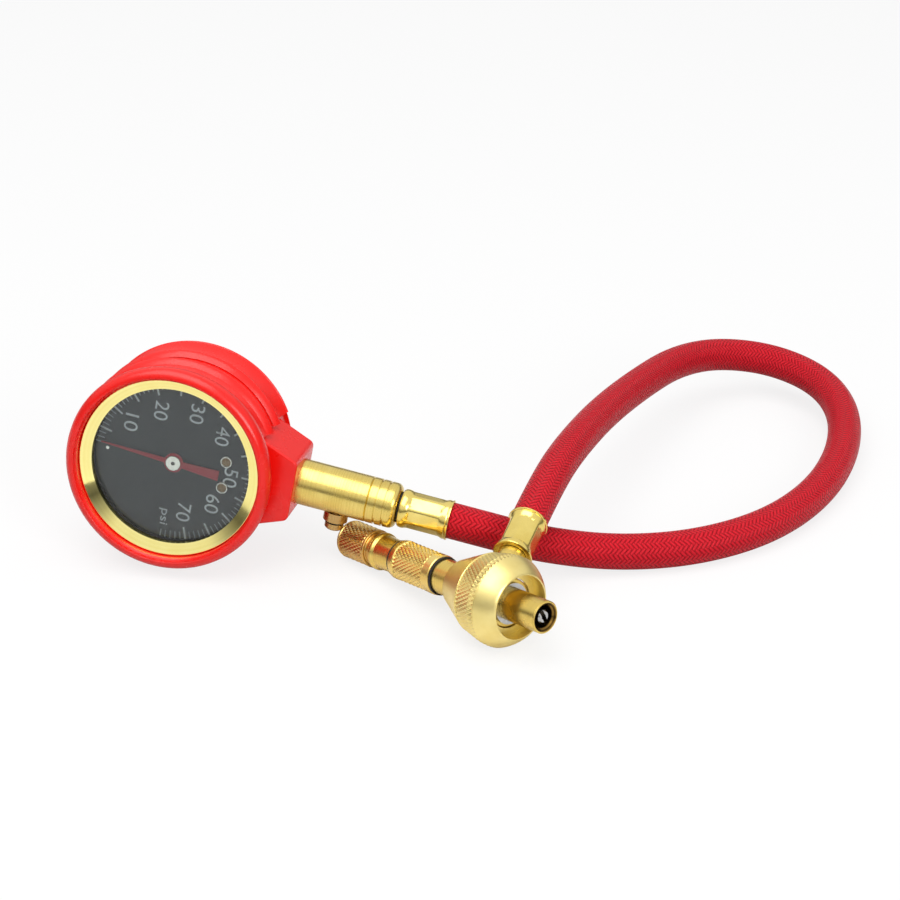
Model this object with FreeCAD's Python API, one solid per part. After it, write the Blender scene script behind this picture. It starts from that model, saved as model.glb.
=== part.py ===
"""Tyre inflator with gauge: a dial pressure gauge in a rubber boot, a brass stem with a bleed button,
a braided hose, and a valve head with a sliding vent bell and a core tool.  Millimetres, +Z up."""
import FreeCAD, Part
import math
import os

from FreeCAD import Placement, Rotation, Vector

os.makedirs("parts", exist_ok=True)

# Where things stand.  The origin is under the middle of the object, the hose left out.
GAUGE_X = -45.65
GAUGE_Y = 31.06
GAUGE_TURN = -10.95      # the dial looks towards -Y, turned to the left by this angle
GAUGE_LEAN = 7.2         # the dial leans back by this angle
STEM_DROOP = 10.2        # the stem falls below the dial's level line by this angle
NOSE_X = 81.2
NOSE_Y = -53.54
HEAD_HEADING = 131.5     # plan direction from the nose to the knob
HEAD_ROLL = 69.0         # the hose port is turned this far from straight up
PORT_LEAN = 24.1         # the hose port leans this far from square, towards the knob

# Running clearances
TURNING_FIT = 0.1
SLIDING_FIT = 0.2
SEATED = 0.05
BOOT_FIT = 0.1

# Gauge case, bezel and lens.  Stations run along the dial axis from the stem's axis to the front.
CASE_RADIUS = 31.2
CASE_WALL = 0.8
CASE_BACK = -15.5
CASE_FRONT = 14.2
GASKET_THICKNESS = 0.8
GASKET_WIDTH = 2.0
LENS_THICKNESS = 2.0
LENS_EDGE_GAP = 0.3
BEZEL_WALL = 1.75
BEZEL_COVER = 2.4        # how far the bezel reaches in over the window
BEZEL_LIP = 1.2
BEZEL_SLOPE = 1.7
BEZEL_SKIRT = 5.8

# Rubber boot: a lip and three hollowed bands, each with its crest at the rear, and a boss for the stem
BOOT_BACK_THICKNESS = 3.6
BOOT_WALL = 1.1          # rubber outside the bezel, at the grooves
BOOT_CREST = 2.4
BOOT_LIP_RISE = 3.6
REAR_CREST = -15.2
MIDDLE_CREST = -2.6
FRONT_CREST = 7.3
CREST_STEP = 1.0
CREST_ROUND = 0.5
COVE_DEPTH = 0.9         # how far a band is hollowed below the straight slope
BAND_GAP_ANGLE = 30.4    # the bands stop this far round from the stem, each side
BAND_GAP_DEPTH = 0.3
BOOT_RING_INSET = 7.2
BOOT_RING_WIDTH = 1.6
BOOT_RING_DEPTH = 0.7
BOSS_REACH = 9.5
BOSS_HALF_BASE = 16.6
BOSS_HALF_END = 11.0
BOSS_FRONT = 12.7
BOSS_REAR = -12.0
BOSS_ROUND = 2.4

# Dial, pointer and stop pin
DIAL_THICKNESS = 0.8
DIAL_DEPTH = 1.8         # dial face below the case's front edge
DIAL_EDGE_GAP = 0.7
DIAL_SCREW_GAP = 1.4     # dial screws beyond the end of the sector's tail
DIAL_SCREW_ANGLE = 15.0
DIAL_SCREW_HEAD = 1.9
DIAL_SCREW_HEAD_HEIGHT = 0.45
DIAL_SCREW_SHANK = 0.8
DIAL_POST_RADIUS = 1.3
POINTER_INSET = 3.9      # from the needle's point to the case's outside
POINTER_TAIL = 16.7
POINTER_THICKNESS = 0.6
POINTER_ABOVE_DIAL = 0.85
POINTER_REST = 182.0     # clockwise from the stem's direction, seen from the front
POINTER_DISC = 3.5
HUB_RADIUS = 2.8
HUB_HEIGHT = 0.75
SPINDLE_RADIUS = 0.7
STOP_PIN_RADIUS = 0.6
STOP_PIN_INSET = 6.8
STOP_PIN_ANGLE = 178.6

# Movement: pinion, sector, link and Bourdon tube
PINION_TEETH = 10
SECTOR_TEETH_FULL = 70
GEAR_MODULE = 0.32
TOOTH_ADDENDUM = 0.27
TOOTH_DEDENDUM = 0.41
TOOTH_HALF = 0.16
SECTOR_TAIL = 5.0
SECTOR_SWING = 37.143    # full turn of the sector from rest
SECTOR_THICKNESS = 1.2
MOVEMENT_PLATE = 1.0
MOVEMENT_GAP = 4.2
MOVEMENT_HALF_WIDTH = 8.0
MOVEMENT_REAR = -6.0
MOVEMENT_PLATE_END = 2.3  # front plate beyond the dial screws
ARBOR_RADIUS = 0.8
LINK_PIN_RADIUS = 0.6
LINK_EYE = 1.5
LINK_THICKNESS = 0.7
LINK_HALF_WIDTH = 0.55
BLOCK_START = 9.0
BLOCK_HALF_WIDTH = 8.0
BLOCK_FRONT = 3.4
BLOCK_REAR = -6.6
TUBE_INSET = 10.2        # tube's mid line inside the case's outside
TUBE_WIDTH = 4.0
TUBE_DEPTH = 8.4
TUBE_WALL = 0.5
TUBE_CENTRE = -1.6
TUBE_ROOT_ANGLE = -14.0
TUBE_TIP_ANGLE = 70.0
TIP_BLOCK_SWEEP = 6.0

# Stem, end cap and bleed button.  Distances run along the stem from the dial axis.
STEM_RADIUS = 8.25
STEM_INSET = 0.8         # stem's end face beyond the case
STEM_LENGTH = 37.5
CAP_LENGTH = 10.9
SHANK_RADIUS = 5.5
SHANK_GRIP = 13.0
STEM_BORE = 2.5
SPIGOT_LENGTH = 4.0
CAP_GROOVE = 0.7
CAP_GROOVE_DEPTH = 0.6
BLEED_PLACE = 26.5
BLEED_HOUSING_RADIUS = 4.4
BLEED_HOUSING_SHANK = 3.4
BLEED_HOUSING_END = 11.0
BLEED_RECESS_DEPTH = 2.4
BUTTON_RADIUS = 3.4
BUTTON_END = 14.6
BUTTON_TRAVEL = 1.8
BUTTON_CAP = 2.6
BUTTON_SHAFT = 1.1
BUTTON_SEAL_RADIUS = 2.9
SPRING_RADIUS = 2.3
SPRING_WALL = 0.5

# Hose and its fittings
HOSE_RADIUS = 6.5
BRAID_BORE = 4.6
LINER_RADIUS = 4.5
LINER_BORE = 2.8
FERRULE_LENGTH = 17.4
FERRULE_RADIUS = 6.65
FERRULE_RIM = 7.35
FERRULE_RIM_WIDTH = 1.9
FERRULE_BORE = 5.9
FERRULE_WALL = 1.2
CRIMPED_RADIUS = 5.8
BARB_RADIUS = 2.6
BARB_RIDGE = 0.15
BARB_BORE = 1.5
BARB_NECK = 3.3
FERRULE_GAP = 1.5        # dark gap between the end cap and the ferrule

# Valve head.  Distances run along the head's axis from the end of the nose to the knob.
NOSE_RADIUS = 5.7
NOSE_LENGTH = 16.4
MOUTH_RADIUS = 5.0
COUPLING_BORE = 3.9
COUPLING_DEPTH = 9.5
SPINDLE_TUBE = 4.2
TIP_BORE = 3.0
TIP_BORE_END = 41.6
SPINDLE_TUBE_END = 62.0
SEAL_THICKNESS = 1.4
RING_RADIUS = 7.2
RING_THICKNESS = 0.95
BODY_START = 17.5
BODY_RADIUS = 8.5
BODY_END = 33.2
NECK_RADIUS = 6.35
NECK_END = 50.7
PORT_AT = 25.9
PORT_COLLAR = 5.1
PORT_COLLAR_START = 13.4
PORT_COLLAR_END = 19.7
PORT_SHANK = 3.4
PORT_SHANK_START = 6.5
FITTING_GAP = 0.2
BELL_START = 12.0
BELL_MOUTH = 11.1
BELL_LIP = 0.5           # width of the bell's edge round the mouth
BELL_WIDEST_AT = 19.6
BELL_RADIUS = 16.5
BAND_END = 29.2
BAND_END_RADIUS = 14.5
BELL_END = 42.8
BELL_END_RADIUS = 8.3
BELL_END_ROUND = 0.8
BELL_TRAVEL = 6.2
BELL_STEP = 17.0
WASHER_THICKNESS = 0.8
WASHER_RADIUS = 6.9
SLEEVE_END = 73.6
SLEEVE_RADIUS = 7.2
GLAND_SHANK = 4.8
GLAND_FLANGE = 6.5
GLAND_WAIST = 5.9
GLAND_COLLAR = 6.8
GLAND_COLLAR_WIDTH = 2.1
GLAND_END = 85.3
ROD_RADIUS = 2.0
TOOL_TIP_RADIUS = 2.3
TOOL_TIP_START = 0.8
TOOL_TIP_END = 8.4
TOOL_SLOT = 1.5
KNOB_GAP = 0.4
KNOB_END = 104.0
KNOB_RADIUS = 7.0
KNOB_NECK = 5.9
KNOB_ROUND = 2.9
KNOB_NECK_WIDTH = 1.7
ROD_IN_KNOB = 12.4

# Hose route from the stem to the head, between the two straight ends: x, y, z
ROUTE = [
    (82.7, 9.3, 11.4),
    (109.7, 11.3, 6.9),
    (138.7, 16.0, 6.6),
    (166.7, 32.0, 6.6),
    (188.7, 59.0, 6.6),
    (202.7, 91.0, 7.5),
    (207.7, 121.0, 10.0),
    (201.7, 145.0, 13.0),
    (183.7, 160.0, 16.0),
    (160.7, 160.0, 19.0),
    (141.7, 145.0, 22.0),
    (124.7, 116.0, 25.5),
    (107.7, 81.0, 29.5),
    (93.7, 44.0, 33.0),
]
STRAIGHT_AT_STEM = 14.0
STRAIGHT_AT_HEAD = 22.0
ARC_SHARE = 0.45

X_AXIS = Vector(1, 0, 0)
Y_AXIS = Vector(0, 1, 0)
Z_AXIS = Vector(0, 0, 1)
ORIGIN = Vector(0, 0, 0)


def outline(points):
    """A flat face through (along, out) points; a point of four numbers is an arc: its middle, its end."""
    edges = []
    start = Vector(points[0][0], points[0][1], 0)
    for point in points[1:] + [points[0][:2]]:
        end = Vector(point[-2], point[-1], 0)
        if len(point) == 4:
            edges.append(Part.Arc(start, Vector(point[0], point[1], 0), end).toShape())
        elif (end - start).Length > 1e-6:
            edges.append(Part.LineSegment(start, end).toShape())
        start = end
    return Part.Face(Part.Wire(edges))


def turned(points):
    """A solid of revolution about X from its half outline."""
    return outline(points).revolve(ORIGIN, X_AXIS, 360)


def turned_on_dial(points):
    """The same about Z, the dial's axis."""
    solid = turned(points)
    solid.rotate(ORIGIN, Y_AXIS, -90)
    return solid


def ring(start, end, inner, outer):
    """A plain ring about X."""
    return turned([(start, inner), (start, outer), (end, outer), (end, inner)])


def bar(start, end, radius):
    """A round bar about X."""
    return Part.makeCylinder(radius, end - start, Vector(start, 0, 0), X_AXIS)


def post(x, y, bottom, top, radius):
    """A round post beside the dial's axis, parallel to it."""
    return Part.makeCylinder(radius, top - bottom, Vector(x, y, bottom), Z_AXIS)


def block(x, y, z):
    """A box from three (low, high) pairs."""
    return Part.makeBox(x[1] - x[0], y[1] - y[0], z[1] - z[0], Vector(x[0], y[0], z[0]))


def on_dial(angle, distance):
    """A point on the dial, its angle clockwise from the stem's direction."""
    turn = math.radians(angle)
    return distance * math.cos(turn), -distance * math.sin(turn)


def prism(points, bottom, top):
    """A straight prism along Z over a polygon."""
    corners = [Vector(x, y, bottom) for x, y in points]
    face = Part.Face(Part.makePolygon(corners + corners[:1]))
    return face.extrude(Vector(0, 0, top - bottom))


# Stations that follow from the sizes above
BEZEL_RADIUS = CASE_RADIUS + SEATED + BEZEL_WALL
BEZEL_OPENING = CASE_RADIUS - BEZEL_COVER
BOOT_GROOVE_RADIUS = BEZEL_RADIUS + BOOT_FIT + BOOT_WALL
BOOT_RING_RADIUS = CASE_RADIUS - BOOT_RING_INSET
BOSS_END = BOOT_GROOVE_RADIUS + BOSS_REACH
POINTER_LENGTH = CASE_RADIUS - POINTER_INSET
STOP_PIN_DISTANCE = CASE_RADIUS - STOP_PIN_INSET
TUBE_RADIUS = CASE_RADIUS - TUBE_INSET
STEM_START = CASE_RADIUS + STEM_INSET
SHANK_END = STEM_START + SHANK_GRIP
STEM_SEAM = STEM_START + STEM_LENGTH
STEM_END = STEM_SEAM + CAP_LENGTH
BLEED_AT = STEM_START + BLEED_PLACE
LENS_BACK = CASE_FRONT + GASKET_THICKNESS
LENS_FRONT = LENS_BACK + LENS_THICKNESS
BEZEL_INNER_FRONT = LENS_FRONT + BEZEL_LIP
BEZEL_OUTER_FRONT = BEZEL_INNER_FRONT + BEZEL_SLOPE
BEZEL_REAR = BEZEL_INNER_FRONT - BEZEL_SKIRT
BOOT_FRONT = BEZEL_OUTER_FRONT + BOOT_LIP_RISE
BOOT_BACK = CASE_BACK - BOOT_FIT - BOOT_BACK_THICKNESS
CREST_RADIUS = BOOT_GROOVE_RADIUS + BOOT_CREST
DIAL_FACE = CASE_FRONT - DIAL_DEPTH
DIAL_BACK = DIAL_FACE - DIAL_THICKNESS
POINTER_BACK = DIAL_FACE + POINTER_ABOVE_DIAL
POINTER_FRONT = POINTER_BACK + POINTER_THICKNESS
PLATE_TOP = BLOCK_FRONT + MOVEMENT_PLATE
FRONT_PLATE = PLATE_TOP + MOVEMENT_GAP
SECTOR_LEVEL = PLATE_TOP + 1.0
LINK_LEVEL = SECTOR_LEVEL + SECTOR_THICKNESS + 0.3
PINION_PITCH = PINION_TEETH * GEAR_MODULE / 2
SECTOR_PITCH = SECTOR_TEETH_FULL * GEAR_MODULE / 2
ARBOR_X = PINION_PITCH + SECTOR_PITCH
DIAL_SCREW_RADIUS = ARBOR_X + SECTOR_TAIL + DIAL_SCREW_GAP
MOVEMENT_FRONT_END = DIAL_SCREW_RADIUS + MOVEMENT_PLATE_END
FERRULE_START = STEM_END + FERRULE_GAP
HOSE_START = FERRULE_START + FERRULE_LENGTH
PORT_FERRULE = PORT_COLLAR_END + FITTING_GAP
PORT_HOSE = PORT_FERRULE + FERRULE_LENGTH
KNOB_START = GLAND_END + KNOB_GAP
GUIDE_BORE = ROD_RADIUS + SLIDING_FIT
BELL_BORE = BODY_RADIUS + SLIDING_FIT


def gauge_case():
    cup = turned_on_dial([
        (CASE_BACK, 0), (CASE_BACK, CASE_RADIUS), (CASE_FRONT, CASE_RADIUS),
        (CASE_FRONT, CASE_RADIUS - CASE_WALL), (CASE_BACK + CASE_WALL, CASE_RADIUS - CASE_WALL),
        (CASE_BACK + CASE_WALL, 0)])
    return cup.cut(bar(CASE_RADIUS - 3 * CASE_WALL, CASE_RADIUS + 1, SHANK_RADIUS + TURNING_FIT))


def band(crest, high, end, low, hollow):
    """One band of the boot: over its rounded crest, then down a hollow slope to its front end."""
    start = crest + CREST_ROUND
    below = high - 0.35
    return [(crest, high, start, below), ((start + end) / 2, (below + low) / 2 - hollow, end, low)]


def boot_outline():
    """Outside of the boot from its back to its front edge."""
    slope_end = FRONT_CREST + 8.2
    return [
        (BOOT_BACK, 0),
        (BOOT_BACK, CREST_RADIUS - 4.2),
        (BOOT_BACK + 1.25, CREST_RADIUS - 1.4, REAR_CREST - CREST_ROUND, CREST_RADIUS - 0.3),
        *band(REAR_CREST, CREST_RADIUS, MIDDLE_CREST - CREST_STEP, BOOT_GROOVE_RADIUS, COVE_DEPTH),
        (MIDDLE_CREST - CREST_ROUND, CREST_RADIUS - 0.8),
        *band(MIDDLE_CREST, CREST_RADIUS - 0.3, FRONT_CREST - CREST_STEP, BOOT_GROOVE_RADIUS, COVE_DEPTH),
        (FRONT_CREST - CREST_ROUND, CREST_RADIUS - 0.7),
        *band(FRONT_CREST, CREST_RADIUS - 0.2, slope_end, CREST_RADIUS - 1.7, COVE_DEPTH / 2),
        (BOOT_FRONT - 3.8, CREST_RADIUS - 0.1, BOOT_FRONT - 0.9, CREST_RADIUS - 0.9),
        (BOOT_FRONT - 0.2, CREST_RADIUS - 1.6, BOOT_FRONT, CREST_RADIUS - 2.7),
        (BOOT_FRONT - 0.5, BEZEL_RADIUS + 0.7, BOOT_FRONT - 1.3, BEZEL_RADIUS + BOOT_FIT),
        (BEZEL_REAR - BOOT_FIT, BEZEL_RADIUS + BOOT_FIT),
        (BEZEL_REAR - BOOT_FIT, CASE_RADIUS + BOOT_FIT),
        (CASE_BACK - BOOT_FIT, CASE_RADIUS + BOOT_FIT),
        (CASE_BACK - BOOT_FIT, 0),
    ]


def stem_boss():
    """Wedge that carries the stem, its long edges rounded."""
    root = math.sqrt(BOOT_GROOVE_RADIUS ** 2 - BOSS_HALF_BASE ** 2)
    spread = (BOSS_HALF_BASE - BOSS_HALF_END) / (BOSS_END - root)
    start = root - 4.0
    half = BOSS_HALF_BASE + 4.0 * spread
    wedge = prism([(start, -half), (BOSS_END, -BOSS_HALF_END), (BOSS_END, BOSS_HALF_END), (start, half)],
                  BOSS_REAR, BOSS_FRONT)
    outer = [edge for edge in wedge.Edges
             if min(vertex.X for vertex in edge.Vertexes) > BOSS_END - 0.1
             and abs(edge.Vertexes[0].Z - edge.Vertexes[-1].Z) > 1.0]
    wedge = wedge.makeFillet(BOSS_ROUND, outer)
    rims = [edge for edge in wedge.Edges
            if max(vertex.X for vertex in edge.Vertexes) > root
            and abs(edge.Vertexes[0].Z - edge.Vertexes[-1].Z) < 0.1]
    return wedge.makeFillet(BOSS_ROUND / 3, rims)


def gauge_boot():
    shell = turned_on_dial(boot_outline())
    bands = post(0, 0, BOOT_BACK + 1.0, BOSS_FRONT, 2 * CREST_RADIUS)
    bands = bands.cut(post(0, 0, BOOT_BACK, BOSS_FRONT + 1, BOOT_GROOVE_RADIUS - BAND_GAP_DEPTH))
    reach = 3 * CREST_RADIUS
    side = reach * math.tan(math.radians(BAND_GAP_ANGLE))
    near_boss = prism([(0, 0), (reach, -side), (reach, side)], BOOT_BACK, BOSS_FRONT)
    shell = shell.cut(bands.common(near_boss))
    shell = shell.fuse(stem_boss())
    shell = shell.cut(post(0, 0, CASE_BACK - BOOT_FIT, BEZEL_REAR, CASE_RADIUS + BOOT_FIT))
    shell = shell.cut(post(0, 0, BEZEL_REAR - BOOT_FIT, BOOT_FRONT, BEZEL_RADIUS + BOOT_FIT))
    shell = shell.cut(bar(CASE_RADIUS - 3, BOSS_END + 1, STEM_RADIUS + SEATED))
    groove = post(0, 0, BOOT_BACK - 1, BOOT_BACK + BOOT_RING_DEPTH, BOOT_RING_RADIUS + BOOT_RING_WIDTH)
    groove = groove.cut(post(0, 0, BOOT_BACK - 1, BOOT_BACK + BOOT_RING_DEPTH, BOOT_RING_RADIUS))
    return shell.cut(groove).removeSplitter()


def bezel_ring():
    skirt_inside = CASE_RADIUS + SEATED
    return turned_on_dial([
        (BEZEL_REAR, skirt_inside), (BEZEL_REAR, BEZEL_RADIUS - 0.3), (BEZEL_REAR + 0.3, BEZEL_RADIUS),
        (BEZEL_OUTER_FRONT - 0.5, BEZEL_RADIUS),
        (BEZEL_OUTER_FRONT - 0.1, BEZEL_RADIUS - 0.15, BEZEL_OUTER_FRONT, BEZEL_RADIUS - 0.5),
        (BEZEL_INNER_FRONT, BEZEL_OPENING), (LENS_FRONT, BEZEL_OPENING), (LENS_FRONT, skirt_inside)])


def gauge_lens():
    edge = CASE_RADIUS - LENS_EDGE_GAP
    return turned_on_dial([(LENS_BACK, 0), (LENS_BACK, edge), (LENS_FRONT, edge), (LENS_FRONT, 0)])


def lens_gasket():
    edge = CASE_RADIUS - LENS_EDGE_GAP
    return turned_on_dial([
        (CASE_FRONT, edge - GASKET_WIDTH), (CASE_FRONT, edge), (LENS_BACK, edge),
        (LENS_BACK, edge - GASKET_WIDTH)])


def dial_screw_places():
    return [on_dial(side * DIAL_SCREW_ANGLE, DIAL_SCREW_RADIUS) for side in (-1, 1)]


def dial_plate():
    edge = CASE_RADIUS - CASE_WALL - DIAL_EDGE_GAP
    plate = post(0, 0, DIAL_BACK, DIAL_FACE, edge)
    plate = plate.cut(post(0, 0, DIAL_BACK, DIAL_FACE, SPINDLE_RADIUS + 0.8))
    for x, y in dial_screw_places():
        plate = plate.cut(post(x, y, DIAL_BACK, DIAL_FACE, DIAL_SCREW_SHANK + SEATED))
    x, y = on_dial(STOP_PIN_ANGLE, STOP_PIN_DISTANCE)
    return plate.cut(post(x, y, DIAL_BACK, DIAL_FACE, STOP_PIN_RADIUS + 0.02))


def dial_screws():
    """Two cheese-head screws with a slot, from the dial down into the movement's posts."""
    screws = []
    for x, y in dial_screw_places():
        top = DIAL_FACE + DIAL_SCREW_HEAD_HEIGHT
        screw = post(x, y, DIAL_FACE, top, DIAL_SCREW_HEAD)
        screw = screw.fuse(post(x, y, DIAL_BACK - 2.4, DIAL_FACE, DIAL_SCREW_SHANK))
        slot = block((x - DIAL_SCREW_HEAD, x + DIAL_SCREW_HEAD), (y - 0.25, y + 0.25), (top - 0.25, top))
        screws.append(screw.cut(slot))
    return Part.makeCompound(screws)


def pointer_stop_pin():
    x, y = on_dial(STOP_PIN_ANGLE, STOP_PIN_DISTANCE)
    return post(x, y, DIAL_BACK, POINTER_FRONT + 0.3, STOP_PIN_RADIUS)


def pointer():
    """Needle with a round eye and a widening tail, drawn along X and turned to its rest mark."""
    needle = prism([(0, -0.95), (POINTER_LENGTH, -0.15), (POINTER_LENGTH, 0.15), (0, 0.95),
                    (-POINTER_TAIL, 1.85), (-POINTER_TAIL, -1.85)], POINTER_BACK, POINTER_FRONT)
    needle = needle.fuse(post(0, 0, POINTER_BACK, POINTER_FRONT, POINTER_DISC))
    needle = needle.cut(post(0, 0, POINTER_BACK, POINTER_FRONT, SPINDLE_RADIUS + 0.02)).removeSplitter()
    needle.rotate(ORIGIN, Z_AXIS, -POINTER_REST)
    return needle


def pointer_hub():
    top = POINTER_FRONT + HUB_HEIGHT
    hub = post(0, 0, POINTER_FRONT, top, HUB_RADIUS)
    rim = [edge for edge in hub.Edges if edge.BoundBox.ZMin > top - 0.01]
    hub = hub.makeFillet(0.25, rim)
    return hub.cut(post(0, 0, POINTER_FRONT, top, SPINDLE_RADIUS + 0.02))


def toothed(pitch, angles, level, thickness):
    """Teeth of a small gear, each a trapezium on the root circle, at the given angles about Z."""
    root = pitch - TOOTH_DEDENDUM
    tip = pitch + TOOTH_ADDENDUM
    teeth = []
    for angle in angles:
        tooth = prism([(root - 0.1, -TOOTH_HALF - 0.09), (pitch, -TOOTH_HALF), (tip, -TOOTH_HALF + 0.09),
                       (tip, TOOTH_HALF - 0.09), (pitch, TOOTH_HALF), (root - 0.1, TOOTH_HALF + 0.09)],
                      level, level + thickness)
        tooth.rotate(ORIGIN, Z_AXIS, angle)
        teeth.append(tooth)
    return teeth


def pointer_spindle():
    """Spindle with the pinion and the collet for the hairspring, all in one turned piece."""
    spindle = post(0, 0, BLOCK_FRONT + 0.1, POINTER_FRONT + HUB_HEIGHT - 0.1, SPINDLE_RADIUS)
    level = SECTOR_LEVEL - 0.2
    thickness = SECTOR_THICKNESS + 0.4
    spindle = spindle.fuse(post(0, 0, level, level + thickness, PINION_PITCH - TOOTH_DEDENDUM))
    pitch_angle = 360.0 / PINION_TEETH
    angles = [pitch_angle * (count + 0.5) for count in range(PINION_TEETH)]
    for tooth in toothed(PINION_PITCH, angles, level, thickness):
        spindle = spindle.fuse(tooth)
    collet = post(0, 0, FRONT_PLATE - 1.3, FRONT_PLATE - 0.5, SPINDLE_RADIUS + 0.5)
    return spindle.fuse(collet).removeSplitter()


def hairspring():
    """The flat spiral, kept as the thin disc that it fills."""
    disc = post(0, 0, FRONT_PLATE - 1.1, FRONT_PLATE - 0.7, 4.6)
    return disc.cut(post(0, 0, FRONT_PLATE - 1.1, FRONT_PLATE - 0.7, SPINDLE_RADIUS + 0.52))


def sector_tail():
    """Pin at the end of the sector's tail, at rest."""
    turn = math.radians(-SECTOR_SWING / 2)
    return ARBOR_X + SECTOR_TAIL * math.cos(turn), SECTOR_TAIL * math.sin(turn)


def sector_gear():
    """Toothed sector on its arbor, its mid line turned back from the pinion by half its swing."""
    pitch_angle = 360.0 / SECTOR_TEETH_FULL
    first = -int(SECTOR_SWING / pitch_angle) - 2
    angles = [180.0 + pitch_angle * count for count in range(first, 3)]
    root = SECTOR_PITCH - TOOTH_DEDENDUM
    edge = []
    for count in range(13):
        turn = math.radians(angles[0] - 2 + (angles[-1] - angles[0] + 4) * count / 12)
        edge.append((root * math.cos(turn), root * math.sin(turn)))
    gear = prism([(1.2, -1.6), (1.2, 1.6)] + edge, SECTOR_LEVEL, SECTOR_LEVEL + SECTOR_THICKNESS)
    for tooth in toothed(SECTOR_PITCH, angles, SECTOR_LEVEL, SECTOR_THICKNESS):
        gear = gear.fuse(tooth)
    gear = gear.fuse(post(0, 0, SECTOR_LEVEL, SECTOR_LEVEL + SECTOR_THICKNESS, 2.4))
    tail = block((0, SECTOR_TAIL), (-1.1, 1.1), (SECTOR_LEVEL, SECTOR_LEVEL + SECTOR_THICKNESS))
    tail = tail.fuse(post(SECTOR_TAIL, 0, SECTOR_LEVEL, SECTOR_LEVEL + SECTOR_THICKNESS, 1.1))
    tail = tail.fuse(post(SECTOR_TAIL, 0, SECTOR_LEVEL, LINK_LEVEL + LINK_THICKNESS + 0.2, LINK_PIN_RADIUS))
    tail.rotate(ORIGIN, Z_AXIS, -SECTOR_SWING / 2)
    arbor = post(0, 0, BLOCK_FRONT + 0.1, FRONT_PLATE + MOVEMENT_PLATE - 0.1, ARBOR_RADIUS)
    gear = gear.fuse(tail).fuse(arbor).removeSplitter()
    gear.translate(Vector(ARBOR_X, 0, 0))
    return gear


def tip_pin():
    """Pin of the tube's tip block, where the link hangs."""
    turn = math.radians(TUBE_TIP_ANGLE - TIP_BLOCK_SWEEP / 2 - 1.0)
    return TUBE_RADIUS * math.cos(turn), TUBE_RADIUS * math.sin(turn)


def connecting_link():
    """Flat link with an eye at each end; the eye at the sector has free play."""
    top = LINK_LEVEL + LINK_THICKNESS
    start = tip_pin()
    end = sector_tail()
    length = math.hypot(end[0] - start[0], end[1] - start[1])
    link = block((0, length), (-LINK_HALF_WIDTH, LINK_HALF_WIDTH), (LINK_LEVEL, top))
    link = link.fuse(post(0, 0, LINK_LEVEL, top, LINK_EYE))
    link = link.fuse(post(length, 0, LINK_LEVEL, top, LINK_EYE + 0.3))
    link = link.cut(post(0, 0, LINK_LEVEL, top, LINK_PIN_RADIUS + TURNING_FIT))
    link = link.cut(post(length, 0, LINK_LEVEL, top, LINK_PIN_RADIUS + 0.5)).removeSplitter()
    turn = math.degrees(math.atan2(end[1] - start[1], end[0] - start[0]))
    link.rotate(ORIGIN, Z_AXIS, turn)
    link.translate(Vector(start[0], start[1], 0))
    return link


def flattened_section(grow):
    """Outline of the flattened tube, wider or narrower by grow, in the plane of the dial's axis."""
    half_width = TUBE_WIDTH / 2 + grow
    half_depth = TUBE_DEPTH / 2 + grow
    straight = half_depth - half_width
    low = Vector(TUBE_RADIUS - half_width, 0, TUBE_CENTRE - straight)
    high = Vector(TUBE_RADIUS - half_width, 0, TUBE_CENTRE + straight)
    far_high = Vector(TUBE_RADIUS + half_width, 0, TUBE_CENTRE + straight)
    far_low = Vector(TUBE_RADIUS + half_width, 0, TUBE_CENTRE - straight)
    crown = Vector(TUBE_RADIUS, 0, TUBE_CENTRE + half_depth)
    foot = Vector(TUBE_RADIUS, 0, TUBE_CENTRE - half_depth)
    edges = [Part.LineSegment(low, high).toShape(), Part.Arc(high, crown, far_high).toShape(),
             Part.LineSegment(far_high, far_low).toShape(), Part.Arc(far_low, foot, low).toShape()]
    return Part.Face(Part.Wire(edges))


def tube_sweep(grow, start, end):
    """The flattened section carried about the dial's axis between two angles."""
    section = flattened_section(grow)
    section.rotate(ORIGIN, Z_AXIS, start)
    return section.revolve(ORIGIN, Z_AXIS, end - start)


def bourdon_tube():
    tip = TUBE_TIP_ANGLE - 360.0
    outside = tube_sweep(0, TUBE_ROOT_ANGLE, tip)
    return outside.cut(tube_sweep(-TUBE_WALL, TUBE_ROOT_ANGLE, tip))


def tube_tip_block():
    """Brass plug on the tube's end; it moves outwards as the tube uncurls, and carries the link pin."""
    plug = tube_sweep(0.4, TUBE_TIP_ANGLE - 1.0 - TIP_BLOCK_SWEEP, TUBE_TIP_ANGLE - 1.0)
    x, y = tip_pin()
    return plug.fuse(post(x, y, TUBE_CENTRE, LINK_LEVEL + LINK_THICKNESS + 0.2, LINK_PIN_RADIUS))


def movement_places():
    """Two rear pillars; the dial's posts stand at the dial screws."""
    return [(MOVEMENT_REAR + 1.8, side * (MOVEMENT_HALF_WIDTH - 1.9)) for side in (-1, 1)]


def movement_plate(bottom, start, end):
    plate = block((start, end), (-MOVEMENT_HALF_WIDTH, MOVEMENT_HALF_WIDTH), (bottom, bottom + MOVEMENT_PLATE))
    upright = [edge for edge in plate.Edges if abs(edge.Vertexes[0].Z - edge.Vertexes[-1].Z) > 0.1]
    plate = plate.makeFillet(1.5, upright)
    plate = plate.cut(post(0, 0, bottom, bottom + MOVEMENT_PLATE, SPINDLE_RADIUS + TURNING_FIT))
    return plate.cut(post(ARBOR_X, 0, bottom, bottom + MOVEMENT_PLATE, ARBOR_RADIUS + TURNING_FIT))


def movement_screw_places():
    return [(MOVEMENT_FRONT_END + 2.0, side * 3.4) for side in (-1, 1)]


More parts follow.
